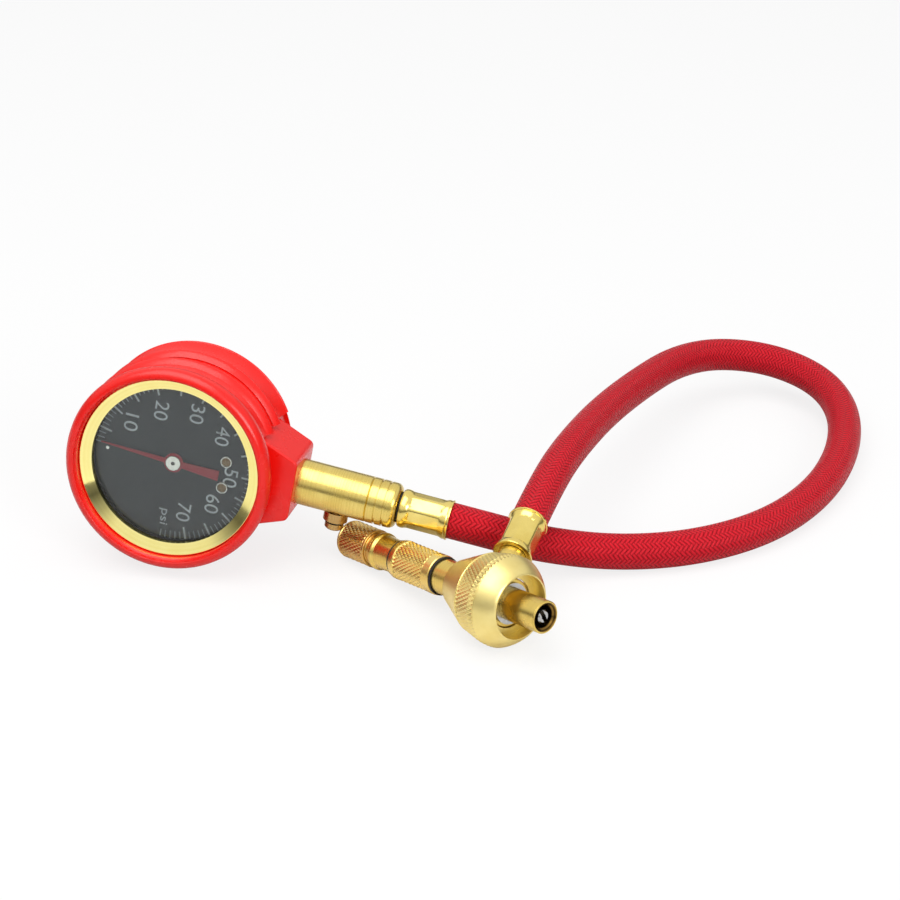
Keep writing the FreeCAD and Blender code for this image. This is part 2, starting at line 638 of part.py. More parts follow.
def movement_back_plate():
    plate = movement_plate(BLOCK_FRONT, MOVEMENT_REAR, MOVEMENT_FRONT_END + 3.9)
    for x, y in movement_screw_places():
        plate = plate.cut(post(x, y, BLOCK_FRONT, PLATE_TOP, DIAL_SCREW_SHANK + SEATED))
    return plate


def movement_front_plate():
    plate = movement_plate(FRONT_PLATE, MOVEMENT_REAR, MOVEMENT_FRONT_END)
    for x, y in dial_screw_places():
        plate = plate.cut(post(x, y, FRONT_PLATE, FRONT_PLATE + MOVEMENT_PLATE, DIAL_POST_RADIUS + SEATED))
    return plate


def movement_pillars():
    """Two dial posts through the front plate and two short pillars between the plates."""
    pillars = []
    for x, y in dial_screw_places():
        pillar = post(x, y, PLATE_TOP, DIAL_BACK, DIAL_POST_RADIUS)
        pillars.append(pillar.cut(post(x, y, DIAL_BACK - 2.6, DIAL_BACK, DIAL_SCREW_SHANK + SEATED)))
    for x, y in movement_places():
        pillars.append(post(x, y, PLATE_TOP, FRONT_PLATE, 1.3))
    return Part.makeCompound(pillars)


def movement_screws():
    screws = []
    for x, y in movement_screw_places():
        screw = post(x, y, PLATE_TOP, PLATE_TOP + 0.9, 1.5)
        screws.append(screw.fuse(post(x, y, BLOCK_FRONT - 3.0, PLATE_TOP, DIAL_SCREW_SHANK)))
    return Part.makeCompound(screws)


def socket_block():
    """Brass block that carries the tube and the movement, with a threaded shank out through the case."""
    body = block((BLOCK_START, CASE_RADIUS), (-BLOCK_HALF_WIDTH, BLOCK_HALF_WIDTH), (BLOCK_REAR, BLOCK_FRONT))
    body = body.common(post(0, 0, BLOCK_REAR, BLOCK_FRONT, CASE_RADIUS - CASE_WALL - SEATED))
    body = body.fuse(bar(CASE_RADIUS - 2.5, SHANK_END, SHANK_RADIUS)).removeSplitter()
    body = body.cut(tube_sweep(SEATED, TUBE_ROOT_ANGLE, TUBE_ROOT_ANGLE - 30))
    for x, y in movement_screw_places():
        body = body.cut(post(x, y, BLOCK_FRONT - 3.2, BLOCK_FRONT, DIAL_SCREW_SHANK + SEATED))
    body = body.cut(bar(TUBE_RADIUS - 1, SHANK_END, BARB_BORE))
    cross = Part.makeCylinder(1.2, 6.0, Vector(TUBE_RADIUS, 0, TUBE_CENTRE + 1.6), Vector(0, -1, 0))
    return body.cut(cross)


def stem_body():
    bore = SHANK_RADIUS + TURNING_FIT
    return turned([
        (STEM_START, bore), (STEM_START, STEM_RADIUS - 0.4), (STEM_START + 0.4, STEM_RADIUS),
        (STEM_SEAM - 0.3, STEM_RADIUS), (STEM_SEAM, STEM_RADIUS - 0.3), (STEM_SEAM, bore),
        (STEM_SEAM - SPIGOT_LENGTH - 0.3, bore), (STEM_SEAM - SPIGOT_LENGTH - 0.3, STEM_BORE),
        (SHANK_END + 1.3, STEM_BORE), (SHANK_END + 1.3, bore)]).cut(bleed_bore())


def bleed_bore():
    return bleed_bar(0, STEM_RADIUS + 1, BLEED_HOUSING_SHANK + SEATED)


def bleed_bar(start, end, radius):
    """A round bar down from the stem's axis at the bleed button."""
    return Part.makeCylinder(radius, end - start, Vector(BLEED_AT, -start, 0), Vector(0, -1, 0))


def stem_seal():
    return ring(SHANK_END + SEATED, SHANK_END + 1.25, STEM_BORE + 0.6, SHANK_RADIUS)


def stem_end_cap():
    """Cap screwed into the stem, with three ringed lands and a rounded end."""
    bore = BARB_NECK + SEATED
    points = [(STEM_SEAM - SPIGOT_LENGTH, bore), (STEM_SEAM - SPIGOT_LENGTH, SHANK_RADIUS),
              (STEM_SEAM, SHANK_RADIUS), (STEM_SEAM, STEM_RADIUS - 0.3), (STEM_SEAM + 0.3, STEM_RADIUS)]
    for at in (STEM_SEAM + 0.275 * CAP_LENGTH, STEM_SEAM + 0.55 * CAP_LENGTH):
        points += [(at, STEM_RADIUS), (at, STEM_RADIUS - CAP_GROOVE_DEPTH),
                   (at + CAP_GROOVE, STEM_RADIUS - CAP_GROOVE_DEPTH), (at + CAP_GROOVE, STEM_RADIUS)]
    points += [(STEM_END - 0.24 * CAP_LENGTH, STEM_RADIUS),
               (STEM_END - 0.7, STEM_RADIUS - 0.8, STEM_END, STEM_RADIUS - 2.4),
               (STEM_END, bore)]
    return turned(points)


def end_cap_o_ring():
    return ring(STEM_END + SEATED, FERRULE_START - SEATED, BARB_NECK + SEATED, 5.6)


def bleed_housing():
    """Flanged bush screwed into the stem, recessed for the button."""
    shank = bleed_bar(STEM_BORE + 0.2, STEM_RADIUS, BLEED_HOUSING_SHANK)
    flange = bleed_bar(STEM_RADIUS - 0.6, BLEED_HOUSING_END, BLEED_HOUSING_RADIUS)
    flange = flange.cut(bar(BLEED_AT - 8, BLEED_AT + 8, STEM_RADIUS + SEATED))
    housing = shank.fuse(flange)
    recess = BUTTON_RADIUS + SLIDING_FIT
    housing = housing.cut(bleed_bar(BLEED_HOUSING_END - BLEED_RECESS_DEPTH, BLEED_HOUSING_END, recess))
    housing = housing.cut(bleed_bar(spring_seat(), BLEED_HOUSING_END, SPRING_RADIUS + SLIDING_FIT))
    return housing.cut(bleed_bar(0, BLEED_HOUSING_END, BUTTON_SHAFT + SLIDING_FIT)).removeSplitter()


def spring_seat():
    return STEM_BORE + 1.2


def button_back():
    """Inner face of the black ring under the button."""
    return BUTTON_END - BUTTON_CAP - 1.1


def bleed_button():
    """Round button with a domed end on a shaft that reaches the bore."""
    cap = turned([
        (BUTTON_END - BUTTON_CAP, 0), (BUTTON_END - BUTTON_CAP, BUTTON_RADIUS),
        (BUTTON_END - 0.9, BUTTON_RADIUS), (BUTTON_END - 0.2, BUTTON_RADIUS - 0.7, BUTTON_END, BUTTON_RADIUS - 1.9),
        (BUTTON_END, 0)])
    shaft = bar(STEM_BORE - 0.4, BUTTON_END - BUTTON_CAP, BUTTON_SHAFT)
    button = cap.fuse(shaft).removeSplitter()
    button.rotate(ORIGIN, Z_AXIS, -90)
    button.translate(Vector(BLEED_AT, 0, 0))
    return button


def bleed_button_seal():
    seal = bleed_bar(button_back(), BUTTON_END - BUTTON_CAP, BUTTON_SEAL_RADIUS)
    return seal.cut(bleed_bar(button_back(), BUTTON_END, BUTTON_SHAFT + 0.02))


def bleed_spring():
    """Return spring, kept as the short sleeve that it fills when the button is down."""
    top = button_back() - BUTTON_TRAVEL - 0.1
    spring = bleed_bar(spring_seat(), top, SPRING_RADIUS)
    return spring.cut(bleed_bar(spring_seat(), top, SPRING_RADIUS - SPRING_WALL))


def barb(neck_start, ferrule_start, neck_radius):
    """Hose tail about X: a neck that fills the ferrule's end wall, then a ridged tail in the liner."""
    tail_start = ferrule_start + FERRULE_WALL + 0.2
    end = ferrule_start + FERRULE_LENGTH - 1.4
    points = [(neck_start, BARB_BORE), (neck_start, neck_radius), (tail_start, neck_radius)]
    ridge_length = (end - tail_start) / 4
    for count in range(4):
        at = tail_start + ridge_length * count
        points += [(at, BARB_RADIUS - BARB_RIDGE), (at + ridge_length * 0.8, BARB_RADIUS)]
        points += [(at + ridge_length, BARB_RADIUS - BARB_RIDGE)]
    points += [(end, BARB_BORE)]
    return turned(points)


def ferrule(start):
    """Crimped brass sleeve with a flared rim at each end, about X."""
    end = start + FERRULE_LENGTH
    rim = FERRULE_RIM_WIDTH
    return turned([
        (start, BARB_NECK + SEATED), (start, FERRULE_RIM - 0.4), (start + 0.4, FERRULE_RIM),
        (start + rim - 0.5, FERRULE_RIM), (start + rim + 0.4, FERRULE_RADIUS),
        (end - rim - 0.4, FERRULE_RADIUS), (end - rim + 0.5, FERRULE_RIM), (end - 0.4, FERRULE_RIM),
        (end, FERRULE_RIM - 0.4), (end, FERRULE_BORE), (start + FERRULE_WALL, FERRULE_BORE),
        (start + FERRULE_WALL, BARB_NECK + SEATED)])


def on_port(shape):
    """Carries a piece made about X onto the leaning port axis of the head."""
    shape.rotate(ORIGIN, Y_AXIS, -90 + PORT_LEAN)
    shape.translate(Vector(PORT_AT, 0, 0))
    return shape


def coupling_spindle():
    """Nose that screws onto the tyre valve, in one piece with the tube that turns in the body."""
    tube = turned([
        (0, MOUTH_RADIUS), (0, NOSE_RADIUS - 0.3), (0.3, NOSE_RADIUS), (NOSE_LENGTH, NOSE_RADIUS),
        (NOSE_LENGTH, SPINDLE_TUBE), (SPINDLE_TUBE_END, SPINDLE_TUBE), (SPINDLE_TUBE_END, GUIDE_BORE),
        (TIP_BORE_END, GUIDE_BORE), (TIP_BORE_END, TIP_BORE), (COUPLING_DEPTH, TIP_BORE),
        (COUPLING_DEPTH, COUPLING_BORE), (MOUTH_RADIUS - COUPLING_BORE, COUPLING_BORE)])
    for turn in range(4):
        hole = Part.makeCylinder(0.9, SPINDLE_TUBE + 1, Vector(PORT_AT, 0, 0), Z_AXIS)
        hole.rotate(Vector(PORT_AT, 0, 0), X_AXIS, 90 * turn + 45)
        tube = tube.cut(hole)
    return tube


def coupling_seal():
    end = COUPLING_DEPTH - SEATED
    return ring(end - SEAL_THICKNESS, end, TOOL_TIP_RADIUS + 0.4, COUPLING_BORE - SEATED)


def thrust_ring():
    return ring(NOSE_LENGTH + SEATED, NOSE_LENGTH + RING_THICKNESS, SPINDLE_TUBE + TURNING_FIT, RING_RADIUS)


def head_body():
    """Barrel that the bell slides on and the spindle turns in, with the hose port and a long neck."""
    bore = SPINDLE_TUBE + TURNING_FIT
    groove = bore + 1.05
    points = [(BODY_START, bore), (BODY_START, BODY_RADIUS - 0.3), (BODY_START + 0.3, BODY_RADIUS)]
    points += [(BODY_START + 1.0, BODY_RADIUS), (BODY_START + 1.0, BODY_RADIUS - 1.1),
               (BODY_START + 2.6, BODY_RADIUS - 1.1), (BODY_START + 2.6, BODY_RADIUS)]
    points += [(BODY_END, BODY_RADIUS), (BODY_END, NECK_RADIUS), (NECK_END, NECK_RADIUS), (NECK_END, bore)]
    points += [(NECK_END - 12.0, bore), (NECK_END - 12.0, groove), (NECK_END - 13.6, groove),
               (NECK_END - 13.6, bore)]
    points += [(PORT_AT + 2, bore), (PORT_AT + 2, groove), (PORT_AT - 3, groove), (PORT_AT - 3, bore)]
    points += [(BODY_START + 2.8, bore), (BODY_START + 2.8, groove), (BODY_START + 1.2, groove),
               (BODY_START + 1.2, bore)]
    body = turned(points)
    body = body.cut(on_port(bar(0, 2 * BODY_RADIUS, BARB_BORE)))
    body = body.cut(on_port(bar(PORT_SHANK_START - 0.3, 2 * BODY_RADIUS, PORT_SHANK + SEATED)))
    for turn in range(3):
        vent = Part.makeCylinder(0.7, BODY_RADIUS + 1, Vector(PORT_AT - 2, 0, 0), Z_AXIS)
        vent.rotate(Vector(PORT_AT, 0, 0), X_AXIS, 90 * turn + 90)
        body = body.cut(vent)
    return body


def spindle_o_rings():
    rings = []
    for start in (BODY_START + 1.3, NECK_END - 13.5):
        rings.append(ring(start, start + 1.4, SPINDLE_TUBE + SEATED, SPINDLE_TUBE + TURNING_FIT + 1.0))
    return Part.makeCompound(rings)


def bell_o_ring():
    return ring(BODY_START + 1.1, BODY_START + 2.5, BODY_RADIUS - 1.05, BODY_RADIUS + SEATED)


def slide_bell():
    """Vent bell: round mouth, knurled band, long cone, and a slot that clears the hose port as it slides."""
    shell = turned([
        (BELL_START, BELL_MOUTH), (BELL_START, BELL_MOUTH + BELL_LIP),
        (BELL_START + 3.3, BELL_RADIUS - 2.15, BELL_WIDEST_AT, BELL_RADIUS),
        (BAND_END, BAND_END_RADIUS), (BELL_END - BELL_END_ROUND, BELL_END_RADIUS + 0.25),
        (BELL_END - 0.2, BELL_END_RADIUS - 0.15, BELL_END, BELL_END_RADIUS - BELL_END_ROUND),
        (BELL_END, NECK_RADIUS + SLIDING_FIT), (BODY_END + 0.4, NECK_RADIUS + SLIDING_FIT),
        (BODY_END + 0.4, BELL_BORE), (BELL_STEP, BELL_BORE), (BELL_STEP, BELL_MOUTH)])
    half = PORT_COLLAR + 0.5
    length = 3 * BELL_RADIUS
    slide = BELL_TRAVEL + 0.5
    rear = on_port(bar(0, length, half))
    front = rear.copy()
    front.translate(Vector(-slide, 0, 0))
    between = on_port(block((0, length), (-half, half), (-half, half)))
    lean = math.radians(PORT_LEAN)
    reach = length * math.sin(lean)
    height = length * math.cos(lean)
    sides = Part.makePolygon([
        Vector(PORT_AT, -half, 0), Vector(PORT_AT - slide, -half, 0),
        Vector(PORT_AT - slide + reach, -half, height), Vector(PORT_AT + reach, -half, height),
        Vector(PORT_AT, -half, 0)])
    between = Part.Face(sides).extrude(Vector(0, 2 * half, 0))
    slot = rear.fuse(front).fuse(between)
    slot = slot.common(block((0, BELL_END), (-half, half), (BODY_RADIUS / 2, length)))
    return shell.cut(slot)


def grip_sleeve():
    start = NECK_END + WASHER_THICKNESS + 0.2
    shank = SPINDLE_TUBE + SEATED
    gland = GLAND_SHANK + SEATED
    return turned([
        (start, shank), (start, SLEEVE_RADIUS - 0.5), (start + 0.5, SLEEVE_RADIUS),
        (SLEEVE_END - 0.5, SLEEVE_RADIUS), (SLEEVE_END, SLEEVE_RADIUS - 0.5), (SLEEVE_END, gland),
        (SPINDLE_TUBE_END + 0.1, gland), (SPINDLE_TUBE_END + 0.1, shank)])


def sleeve_washer():
    start = NECK_END + TURNING_FIT
    return ring(start, start + WASHER_THICKNESS, SPINDLE_TUBE + SEATED, WASHER_RADIUS)


def gland_nut():
    """Nut in the sleeve's end that guides the rod: shank, thin flange, waisted body and end collar."""
    flange = SLEEVE_END + 0.8
    collar = GLAND_END - GLAND_COLLAR_WIDTH
    return turned([
        (SPINDLE_TUBE_END + 0.2, GUIDE_BORE), (SPINDLE_TUBE_END + 0.2, GLAND_SHANK), (flange, GLAND_SHANK),
        (flange, GLAND_FLANGE), (flange + 0.8, GLAND_FLANGE), (flange + 1.2, GLAND_WAIST),
        (collar - 0.9, GLAND_WAIST + 0.3), (collar - 0.25, GLAND_WAIST + 0.5, collar, GLAND_COLLAR - 0.1),
        (collar + 0.9, GLAND_COLLAR + 0.1, GLAND_END - 0.4, GLAND_COLLAR - 0.2),
        (GLAND_END, GLAND_COLLAR - 0.6), (GLAND_END, GUIDE_BORE)])


def gland_o_ring():
    return ring(SLEEVE_END + SEATED, SLEEVE_END + 0.75, GLAND_SHANK + SEATED, SLEEVE_RADIUS - 0.5)


def rod_groove():
    return TOOL_TIP_END + 1.6


def tool_rod():
    """Steel rod from the tip to the knob, with a stub in the tip and a groove for its ring."""
    groove = rod_groove()
    return turned([
        (TOOL_TIP_END - 1.6, 0), (TOOL_TIP_END - 1.6, 1.1), (TOOL_TIP_END + SEATED, 1.1),
        (TOOL_TIP_END + SEATED, ROD_RADIUS), (groove, ROD_RADIUS), (groove, ROD_RADIUS - 0.4),
        (groove + 1.3, ROD_RADIUS - 0.4), (groove + 1.3, ROD_RADIUS),
        (KNOB_START + ROD_IN_KNOB, ROD_RADIUS), (KNOB_START + ROD_IN_KNOB, 0)])


def rod_o_ring():
    groove = rod_groove()
    return ring(groove + 0.1, groove + 1.2, ROD_RADIUS - 0.35, TIP_BORE - TURNING_FIT)


def tool_tip():
    """Two-pronged key for the valve core."""
    tip = turned([
        (TOOL_TIP_START, 0.9), (TOOL_TIP_START, TOOL_TIP_RADIUS - 0.4), (TOOL_TIP_START + 0.4, TOOL_TIP_RADIUS),
        (TOOL_TIP_END, TOOL_TIP_RADIUS), (TOOL_TIP_END, 1.15), (TOOL_TIP_END - 1.7, 1.15),
        (TOOL_TIP_END - 1.7, 0.9)])
    slot = block((TOOL_TIP_START, TOOL_TIP_START + 3.6), (-TOOL_TIP_RADIUS, TOOL_TIP_RADIUS),
                 (-TOOL_SLOT / 2, TOOL_SLOT / 2))
    return tip.cut(slot)


def tool_knob():
    """Knob with a neck, a polished edge and a knurled, rounded end."""
    start = KNOB_START
    edge = start + KNOB_NECK_WIDTH
    bore = ROD_RADIUS + 0.02
    return turned([
        (start, bore), (start, KNOB_NECK), (edge, KNOB_NECK), (edge, KNOB_RADIUS - 0.3),
        (edge + 0.3, KNOB_RADIUS), (KNOB_END - KNOB_ROUND, KNOB_RADIUS),
        (KNOB_END - 0.85, KNOB_RADIUS - 1.05, KNOB_END, KNOB_RADIUS - 3.1), (KNOB_END, 0),
        (start + ROD_IN_KNOB + 0.1, 0), (start + ROD_IN_KNOB + 0.1, bore)])


# The gauge stands on the rearmost crest of its boot, the head lies on its bell and knob.
lean = math.radians(GAUGE_LEAN)
GAUGE_Z = max(radius * math.cos(lean) - station * math.sin(lean)
              for station, radius in ((REAR_CREST, CREST_RADIUS), (BOOT_BACK, CREST_RADIUS - 4.2)))
pitch = math.atan2(BELL_RADIUS - KNOB_RADIUS, KNOB_END - KNOB_ROUND - BELL_WIDEST_AT)
NOSE_Z = max(station * math.sin(pitch) + radius * math.cos(pitch)
             for station, radius in ((BELL_WIDEST_AT, BELL_RADIUS), (KNOB_END - KNOB_ROUND, KNOB_RADIUS)))

GAUGE_ROTATION = (Rotation(Z_AXIS, GAUGE_TURN)
                  .multiply(Rotation(X_AXIS, 90 - GAUGE_LEAN))
                  .multiply(Rotation(Z_AXIS, -STEM_DROOP)))
GAUGE_PLACE = Placement(Vector(GAUGE_X, GAUGE_Y, GAUGE_Z), GAUGE_ROTATION)
HEAD_ROTATION = (Rotation(Z_AXIS, HEAD_HEADING)
                 .multiply(Rotation(Y_AXIS, math.degrees(pitch)))
                 .multiply(Rotation(X_AXIS, HEAD_ROLL)))
HEAD_PLACE = Placement(Vector(NOSE_X, NOSE_Y, NOSE_Z), HEAD_ROTATION)


def hose_points():
    """Corners of the hose's route, its two ends in line with the ferrules."""
    start = GAUGE_PLACE.multVec(Vector(HOSE_START, 0, 0))
    start_way = GAUGE_ROTATION.multVec(X_AXIS)
    lean_back = math.radians(PORT_LEAN)
    port_way = Vector(math.sin(lean_back), 0, math.cos(lean_back))
    end = HEAD_PLACE.multVec(Vector(PORT_AT, 0, 0) + port_way * PORT_HOSE)
    end_way = HEAD_ROTATION.multVec(port_way)
    middle = [Vector(*point) for point in ROUTE]
    return ([start, start + start_way * STRAIGHT_AT_STEM] + middle
            + [end + end_way * STRAIGHT_AT_HEAD, end])


def hose_path(points):
    """Straight runs joined by tangent arcs, and the radius of each arc."""
    edges = []
    radii = []
    at = points[0]
    for before, corner, after in zip(points, points[1:], points[2:]):
        back = before - corner
        ahead = after - corner
        half_turn = (math.pi - back.getAngle(ahead)) / 2
        cut = ARC_SHARE * min(back.Length, ahead.Length)
        radii.append(cut / math.tan(half_turn))
        back.normalize()
        ahead.normalize()
        first = corner + back * cut
        last = corner + ahead * cut
        bisector = back + ahead
        bisector.normalize()
        sagitta = cut * (1 - math.sin((math.pi - 2 * half_turn) / 2)) / math.cos((math.pi - 2 * half_turn) / 2)
        middle = corner + bisector * sagitta
        edges.append(Part.LineSegment(at, first).toShape())
        edges.append(Part.Arc(first, middle, last).toShape())
        at = last
    edges.append(Part.LineSegment(at, points[-1]).toShape())
    return Part.Wire(edges), radii


def hose_layer(path, points, outer, inner, crimped, crimped_inner, label):
    """One layer of the hose: the free stretch and the two ends held in the ferrules."""
    way = points[1] - points[0]
    solids = []
    for radius in (outer, inner):
        circle = Part.Wire(Part.makeCircle(radius, points[0], way))
        solids.append(path.makePipeShell([circle], True, False))
    free = solids[0].cut(solids[1])
    area = math.pi * (outer ** 2 - inner ** 2)
    print(label, "volume", round(free.Volume, 1), "section times length", round(area * path.Length, 1))
    depth = FERRULE_LENGTH - FERRULE_WALL - 0.3
    for end, neighbour in ((points[0], points[1]), (points[-1], points[-2])):
        out = end - neighbour
        out.normalize()
        held = Part.makeCylinder(crimped, depth, end, out)
        free = free.fuse(held.cut(Part.makeCylinder(crimped_inner, depth, end, out)))
    return free.removeSplitter()


def write(name, shape, place=None):
    """Puts one sub-part in the object's frame and writes it."""
    made = shape.copy()
    if place is not None:
        made.Placement = place.multiply(made.Placement)
    made.exportStep(os.path.join("parts", name + ".step"))


GAUGE_PARTS = {
    "gauge_boot": gauge_boot, "gauge_case": gauge_case, "bezel_ring": bezel_ring, "gauge_lens": gauge_lens,
    "lens_gasket": lens_gasket, "dial_plate": dial_plate, "dial_screws": dial_screws,
    "pointer_stop_pin": pointer_stop_pin, "pointer": pointer, "pointer_hub": pointer_hub,
    "pointer_spindle": pointer_spindle, "hairspring": hairspring, "sector_gear": sector_gear,
    "connecting_link": connecting_link, "bourdon_tube": bourdon_tube, "tube_tip_block": tube_tip_block,
    "movement_back_plate": movement_back_plate, "movement_front_plate": movement_front_plate,
    "movement_pillars": movement_pillars, "movement_screws": movement_screws,
    "socket_block": socket_block, "stem_body": stem_body, "stem_seal": stem_seal,
    "stem_end_cap": stem_end_cap, "end_cap_o_ring": end_cap_o_ring, "bleed_housing": bleed_housing,
    "bleed_button": bleed_button, "bleed_button_seal": bleed_button_seal, "bleed_spring": bleed_spring,
}
HEAD_PARTS = {
    "head_body": head_body, "spindle_o_rings": spindle_o_rings, "bell_o_ring": bell_o_ring,
    "slide_bell": slide_bell, "coupling_spindle": coupling_spindle, "coupling_seal": coupling_seal,
    "thrust_ring": thrust_ring, "grip_sleeve": grip_sleeve, "sleeve_washer": sleeve_washer,
    "gland_nut": gland_nut, "gland_o_ring": gland_o_ring, "tool_rod": tool_rod, "tool_tip": tool_tip,
    "rod_o_ring": rod_o_ring, "tool_knob": tool_knob,
}

for part_name, maker in GAUGE_PARTS.items():
    write(part_name, maker(), GAUGE_PLACE)
for part_name, maker in HEAD_PARTS.items():
    write(part_name, maker(), HEAD_PLACE)
write("gauge_hose_barb", barb(STEM_SEAM - SPIGOT_LENGTH, FERRULE_START, BARB_NECK), GAUGE_PLACE)
write("gauge_ferrule", ferrule(FERRULE_START), GAUGE_PLACE)
fitting = barb(PORT_SHANK_START, PORT_FERRULE, BARB_NECK)
fitting = fitting.fuse(ring(PORT_SHANK_START, PORT_COLLAR_START, BARB_BORE, PORT_SHANK))
fitting = fitting.fuse(ring(PORT_COLLAR_START, PORT_COLLAR_END, BARB_BORE, PORT_COLLAR))
write("head_hose_fitting", on_port(fitting.removeSplitter()), HEAD_PLACE)
write("head_ferrule", on_port(ferrule(PORT_FERRULE)), HEAD_PLACE)

route_points = hose_points()
hose_wire, arc_radii = hose_path(route_points)
print("hose length", round(hose_wire.Length, 1), "arc radii", [round(radius, 1) for radius in arc_radii])
write("hose_braid", hose_layer(hose_wire, route_points, HOSE_RADIUS, BRAID_BORE, CRIMPED_RADIUS,
                               BRAID_BORE, "braid"))
write("hose_liner", hose_layer(hose_wire, route_points, LINER_RADIUS, LINER_BORE, LINER_RADIUS,
                               LINER_BORE, "liner"))
print("gauge height", round(GAUGE_Z, 3), "nose height", round(NOSE_Z, 3), "pitch", round(math.degrees(pitch), 3))
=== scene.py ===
# %% [markdown]
# # A tyre inflator with a dial gauge
# This lesson dresses a CAD model of a tyre inflator: a pressure gauge in a red rubber boot, a brass
# stem, a braided hose and a brass valve head. The CAD nodes are loaded first and are never moved.
# Where a node only needs a better finish it gets a material; where it needs knurls, flats, print or
# a weave it is modelled anew.

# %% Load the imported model
import math

import bmesh
import bpy
from mathutils import Matrix, Vector


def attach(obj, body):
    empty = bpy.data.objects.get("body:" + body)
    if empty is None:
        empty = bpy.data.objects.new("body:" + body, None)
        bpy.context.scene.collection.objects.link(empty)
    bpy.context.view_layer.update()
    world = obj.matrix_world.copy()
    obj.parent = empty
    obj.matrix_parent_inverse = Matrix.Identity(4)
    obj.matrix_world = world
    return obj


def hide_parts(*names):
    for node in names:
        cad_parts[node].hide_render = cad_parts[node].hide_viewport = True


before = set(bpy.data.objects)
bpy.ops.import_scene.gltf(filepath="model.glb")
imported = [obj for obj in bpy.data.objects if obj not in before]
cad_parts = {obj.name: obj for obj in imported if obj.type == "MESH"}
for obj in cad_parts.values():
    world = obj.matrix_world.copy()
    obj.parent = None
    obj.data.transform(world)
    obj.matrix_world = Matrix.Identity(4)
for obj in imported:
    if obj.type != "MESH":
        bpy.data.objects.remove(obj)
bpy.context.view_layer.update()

MM = 0.001

# %% [markdown]
# ## Where things stand
# The gauge and the valve head are each turned on a lathe about their own axis, so each is modelled
# along X and then placed as a whole. The two placements are the ones that the CAD uses. The hose
# port leans on the head, so it has a third, and the dial is turned about the gauge's other axis.

# %% Placements of the gauge, the head, the port and the dial
DIAL_HEADING = -10.95        # degrees, how far the dial looks to the left
DIAL_TILT = 82.8             # degrees, where 90 is upright
STEM_DROOP = -10.2           # degrees, how far the stem points down
HEAD_HEADING = 131.5         # degrees, the way from the nose to the knob
HEAD_PITCH = 6.649           # degrees, the knob lies lower than the nose
HEAD_ROLL = 69.0             # degrees, how the hose port is turned up round the head
PORT_AT = 25.9               # mm, from the nose
PORT_LEAN = 24.1             # degrees, how far the port leans back


def turn(degrees, axis):
    """A turn about one axis, as a matrix."""
    return Matrix.Rotation(math.radians(degrees), 4, axis)


GAUGE = (Matrix.Translation((-0.04565, 0.03106, 0.038216)) @ turn(DIAL_HEADING, "Z")
         @ turn(DIAL_TILT, "X") @ turn(STEM_DROOP, "Z"))
HEAD = (Matrix.Translation((0.0812, -0.05354, 0.018658)) @ turn(HEAD_HEADING, "Z")
        @ turn(HEAD_PITCH, "Y") @ turn(HEAD_ROLL, "X"))
PORT = HEAD @ Matrix.Translation((PORT_AT * MM, 0, 0)) @ turn(PORT_LEAN - 90, "Y")
DIAL = GAUGE @ turn(-90, "Y")
print("dial looks along", [round(v, 3) for v in GAUGE.to_3x3() @ Vector((0, 0, 1))])

# %% [markdown]
# ## The camera
# The photograph looks down at the object by about 26 degrees from nearly a metre away, with a long
# lens, so lines hardly converge.

# %% Camera
CAMERA_TILT = math.radians(26.5)
CAMERA_DISTANCE = 0.9128
LENS = 92.0
SENSOR_WIDTH = 36
aim = Vector((0.04965, 0.10796, 0))
back = Vector((0, -math.cos(CAMERA_TILT), math.sin(CAMERA_TILT)))
camera = bpy.data.objects.new("camera", bpy.data.cameras.new("camera"))
bpy.context.scene.collection.objects.link(camera)
camera.location = aim + CAMERA_DISTANCE * back
camera.rotation_euler = (math.pi / 2 - CAMERA_TILT, 0, 0)
camera.data.sensor_width = SENSOR_WIDTH
camera.data.lens = LENS
bpy.context.scene.camera = camera
print("camera at", [round(v, 3) for v in camera.location])

# %% [markdown]
# ## The hose
# A rubber hose in a woven cover is stiff for its size: it leaves each ferrule straight, lies on the
# table and comes back to the head in one wide loop. Its middle line is a NURBS curve with a few
# given points. A NURBS curve was chosen because it is smooth everywhere, as a hose is. The
# woven cover is then a mesh tube that follows the line, because the weave needs coordinates round
# and along the hose.

# %% Route of the hose
HOSE_RADIUS = 6.5 * MM
STEM_END = 80.4              # mm, along the gauge's axis
FERRULE_START = STEM_END + 1.5
PORT_FERRULE = 19.9          # mm, along the port's axis
FERRULE_LENGTH = 17.4
FIRST_STRAIGHT, LAST_STRAIGHT = 0.014, 0.022
hose_start = GAUGE @ Vector(((FERRULE_START + FERRULE_LENGTH) * MM, 0, 0))
hose_end = PORT @ Vector(((PORT_FERRULE + FERRULE_LENGTH) * MM, 0, 0))
start_way = GAUGE.to_3x3() @ Vector((1, 0, 0))
end_way = PORT.to_3x3() @ Vector((1, 0, 0))
route = [hose_start, hose_start + start_way * FIRST_STRAIGHT]
route += [Vector(point) for point in (
    (0.0827, 0.0093, 0.0114), (0.1097, 0.0113, 0.0069), (0.1387, 0.0160, 0.0066),
    (0.1667, 0.0320, 0.0066), (0.1887, 0.0590, 0.0066), (0.2027, 0.0910, 0.0075),
    (0.2077, 0.1210, 0.0100), (0.2017, 0.1450, 0.0130), (0.1837, 0.1600, 0.0160),
    (0.1607, 0.1600, 0.0190), (0.1417, 0.1450, 0.0220), (0.1247, 0.1160, 0.0255),
    (0.1077, 0.0810, 0.0295), (0.0937, 0.0440, 0.0330))]
route += [hose_end + end_way * LAST_STRAIGHT, hose_end]
print("route has", len(route), "points")

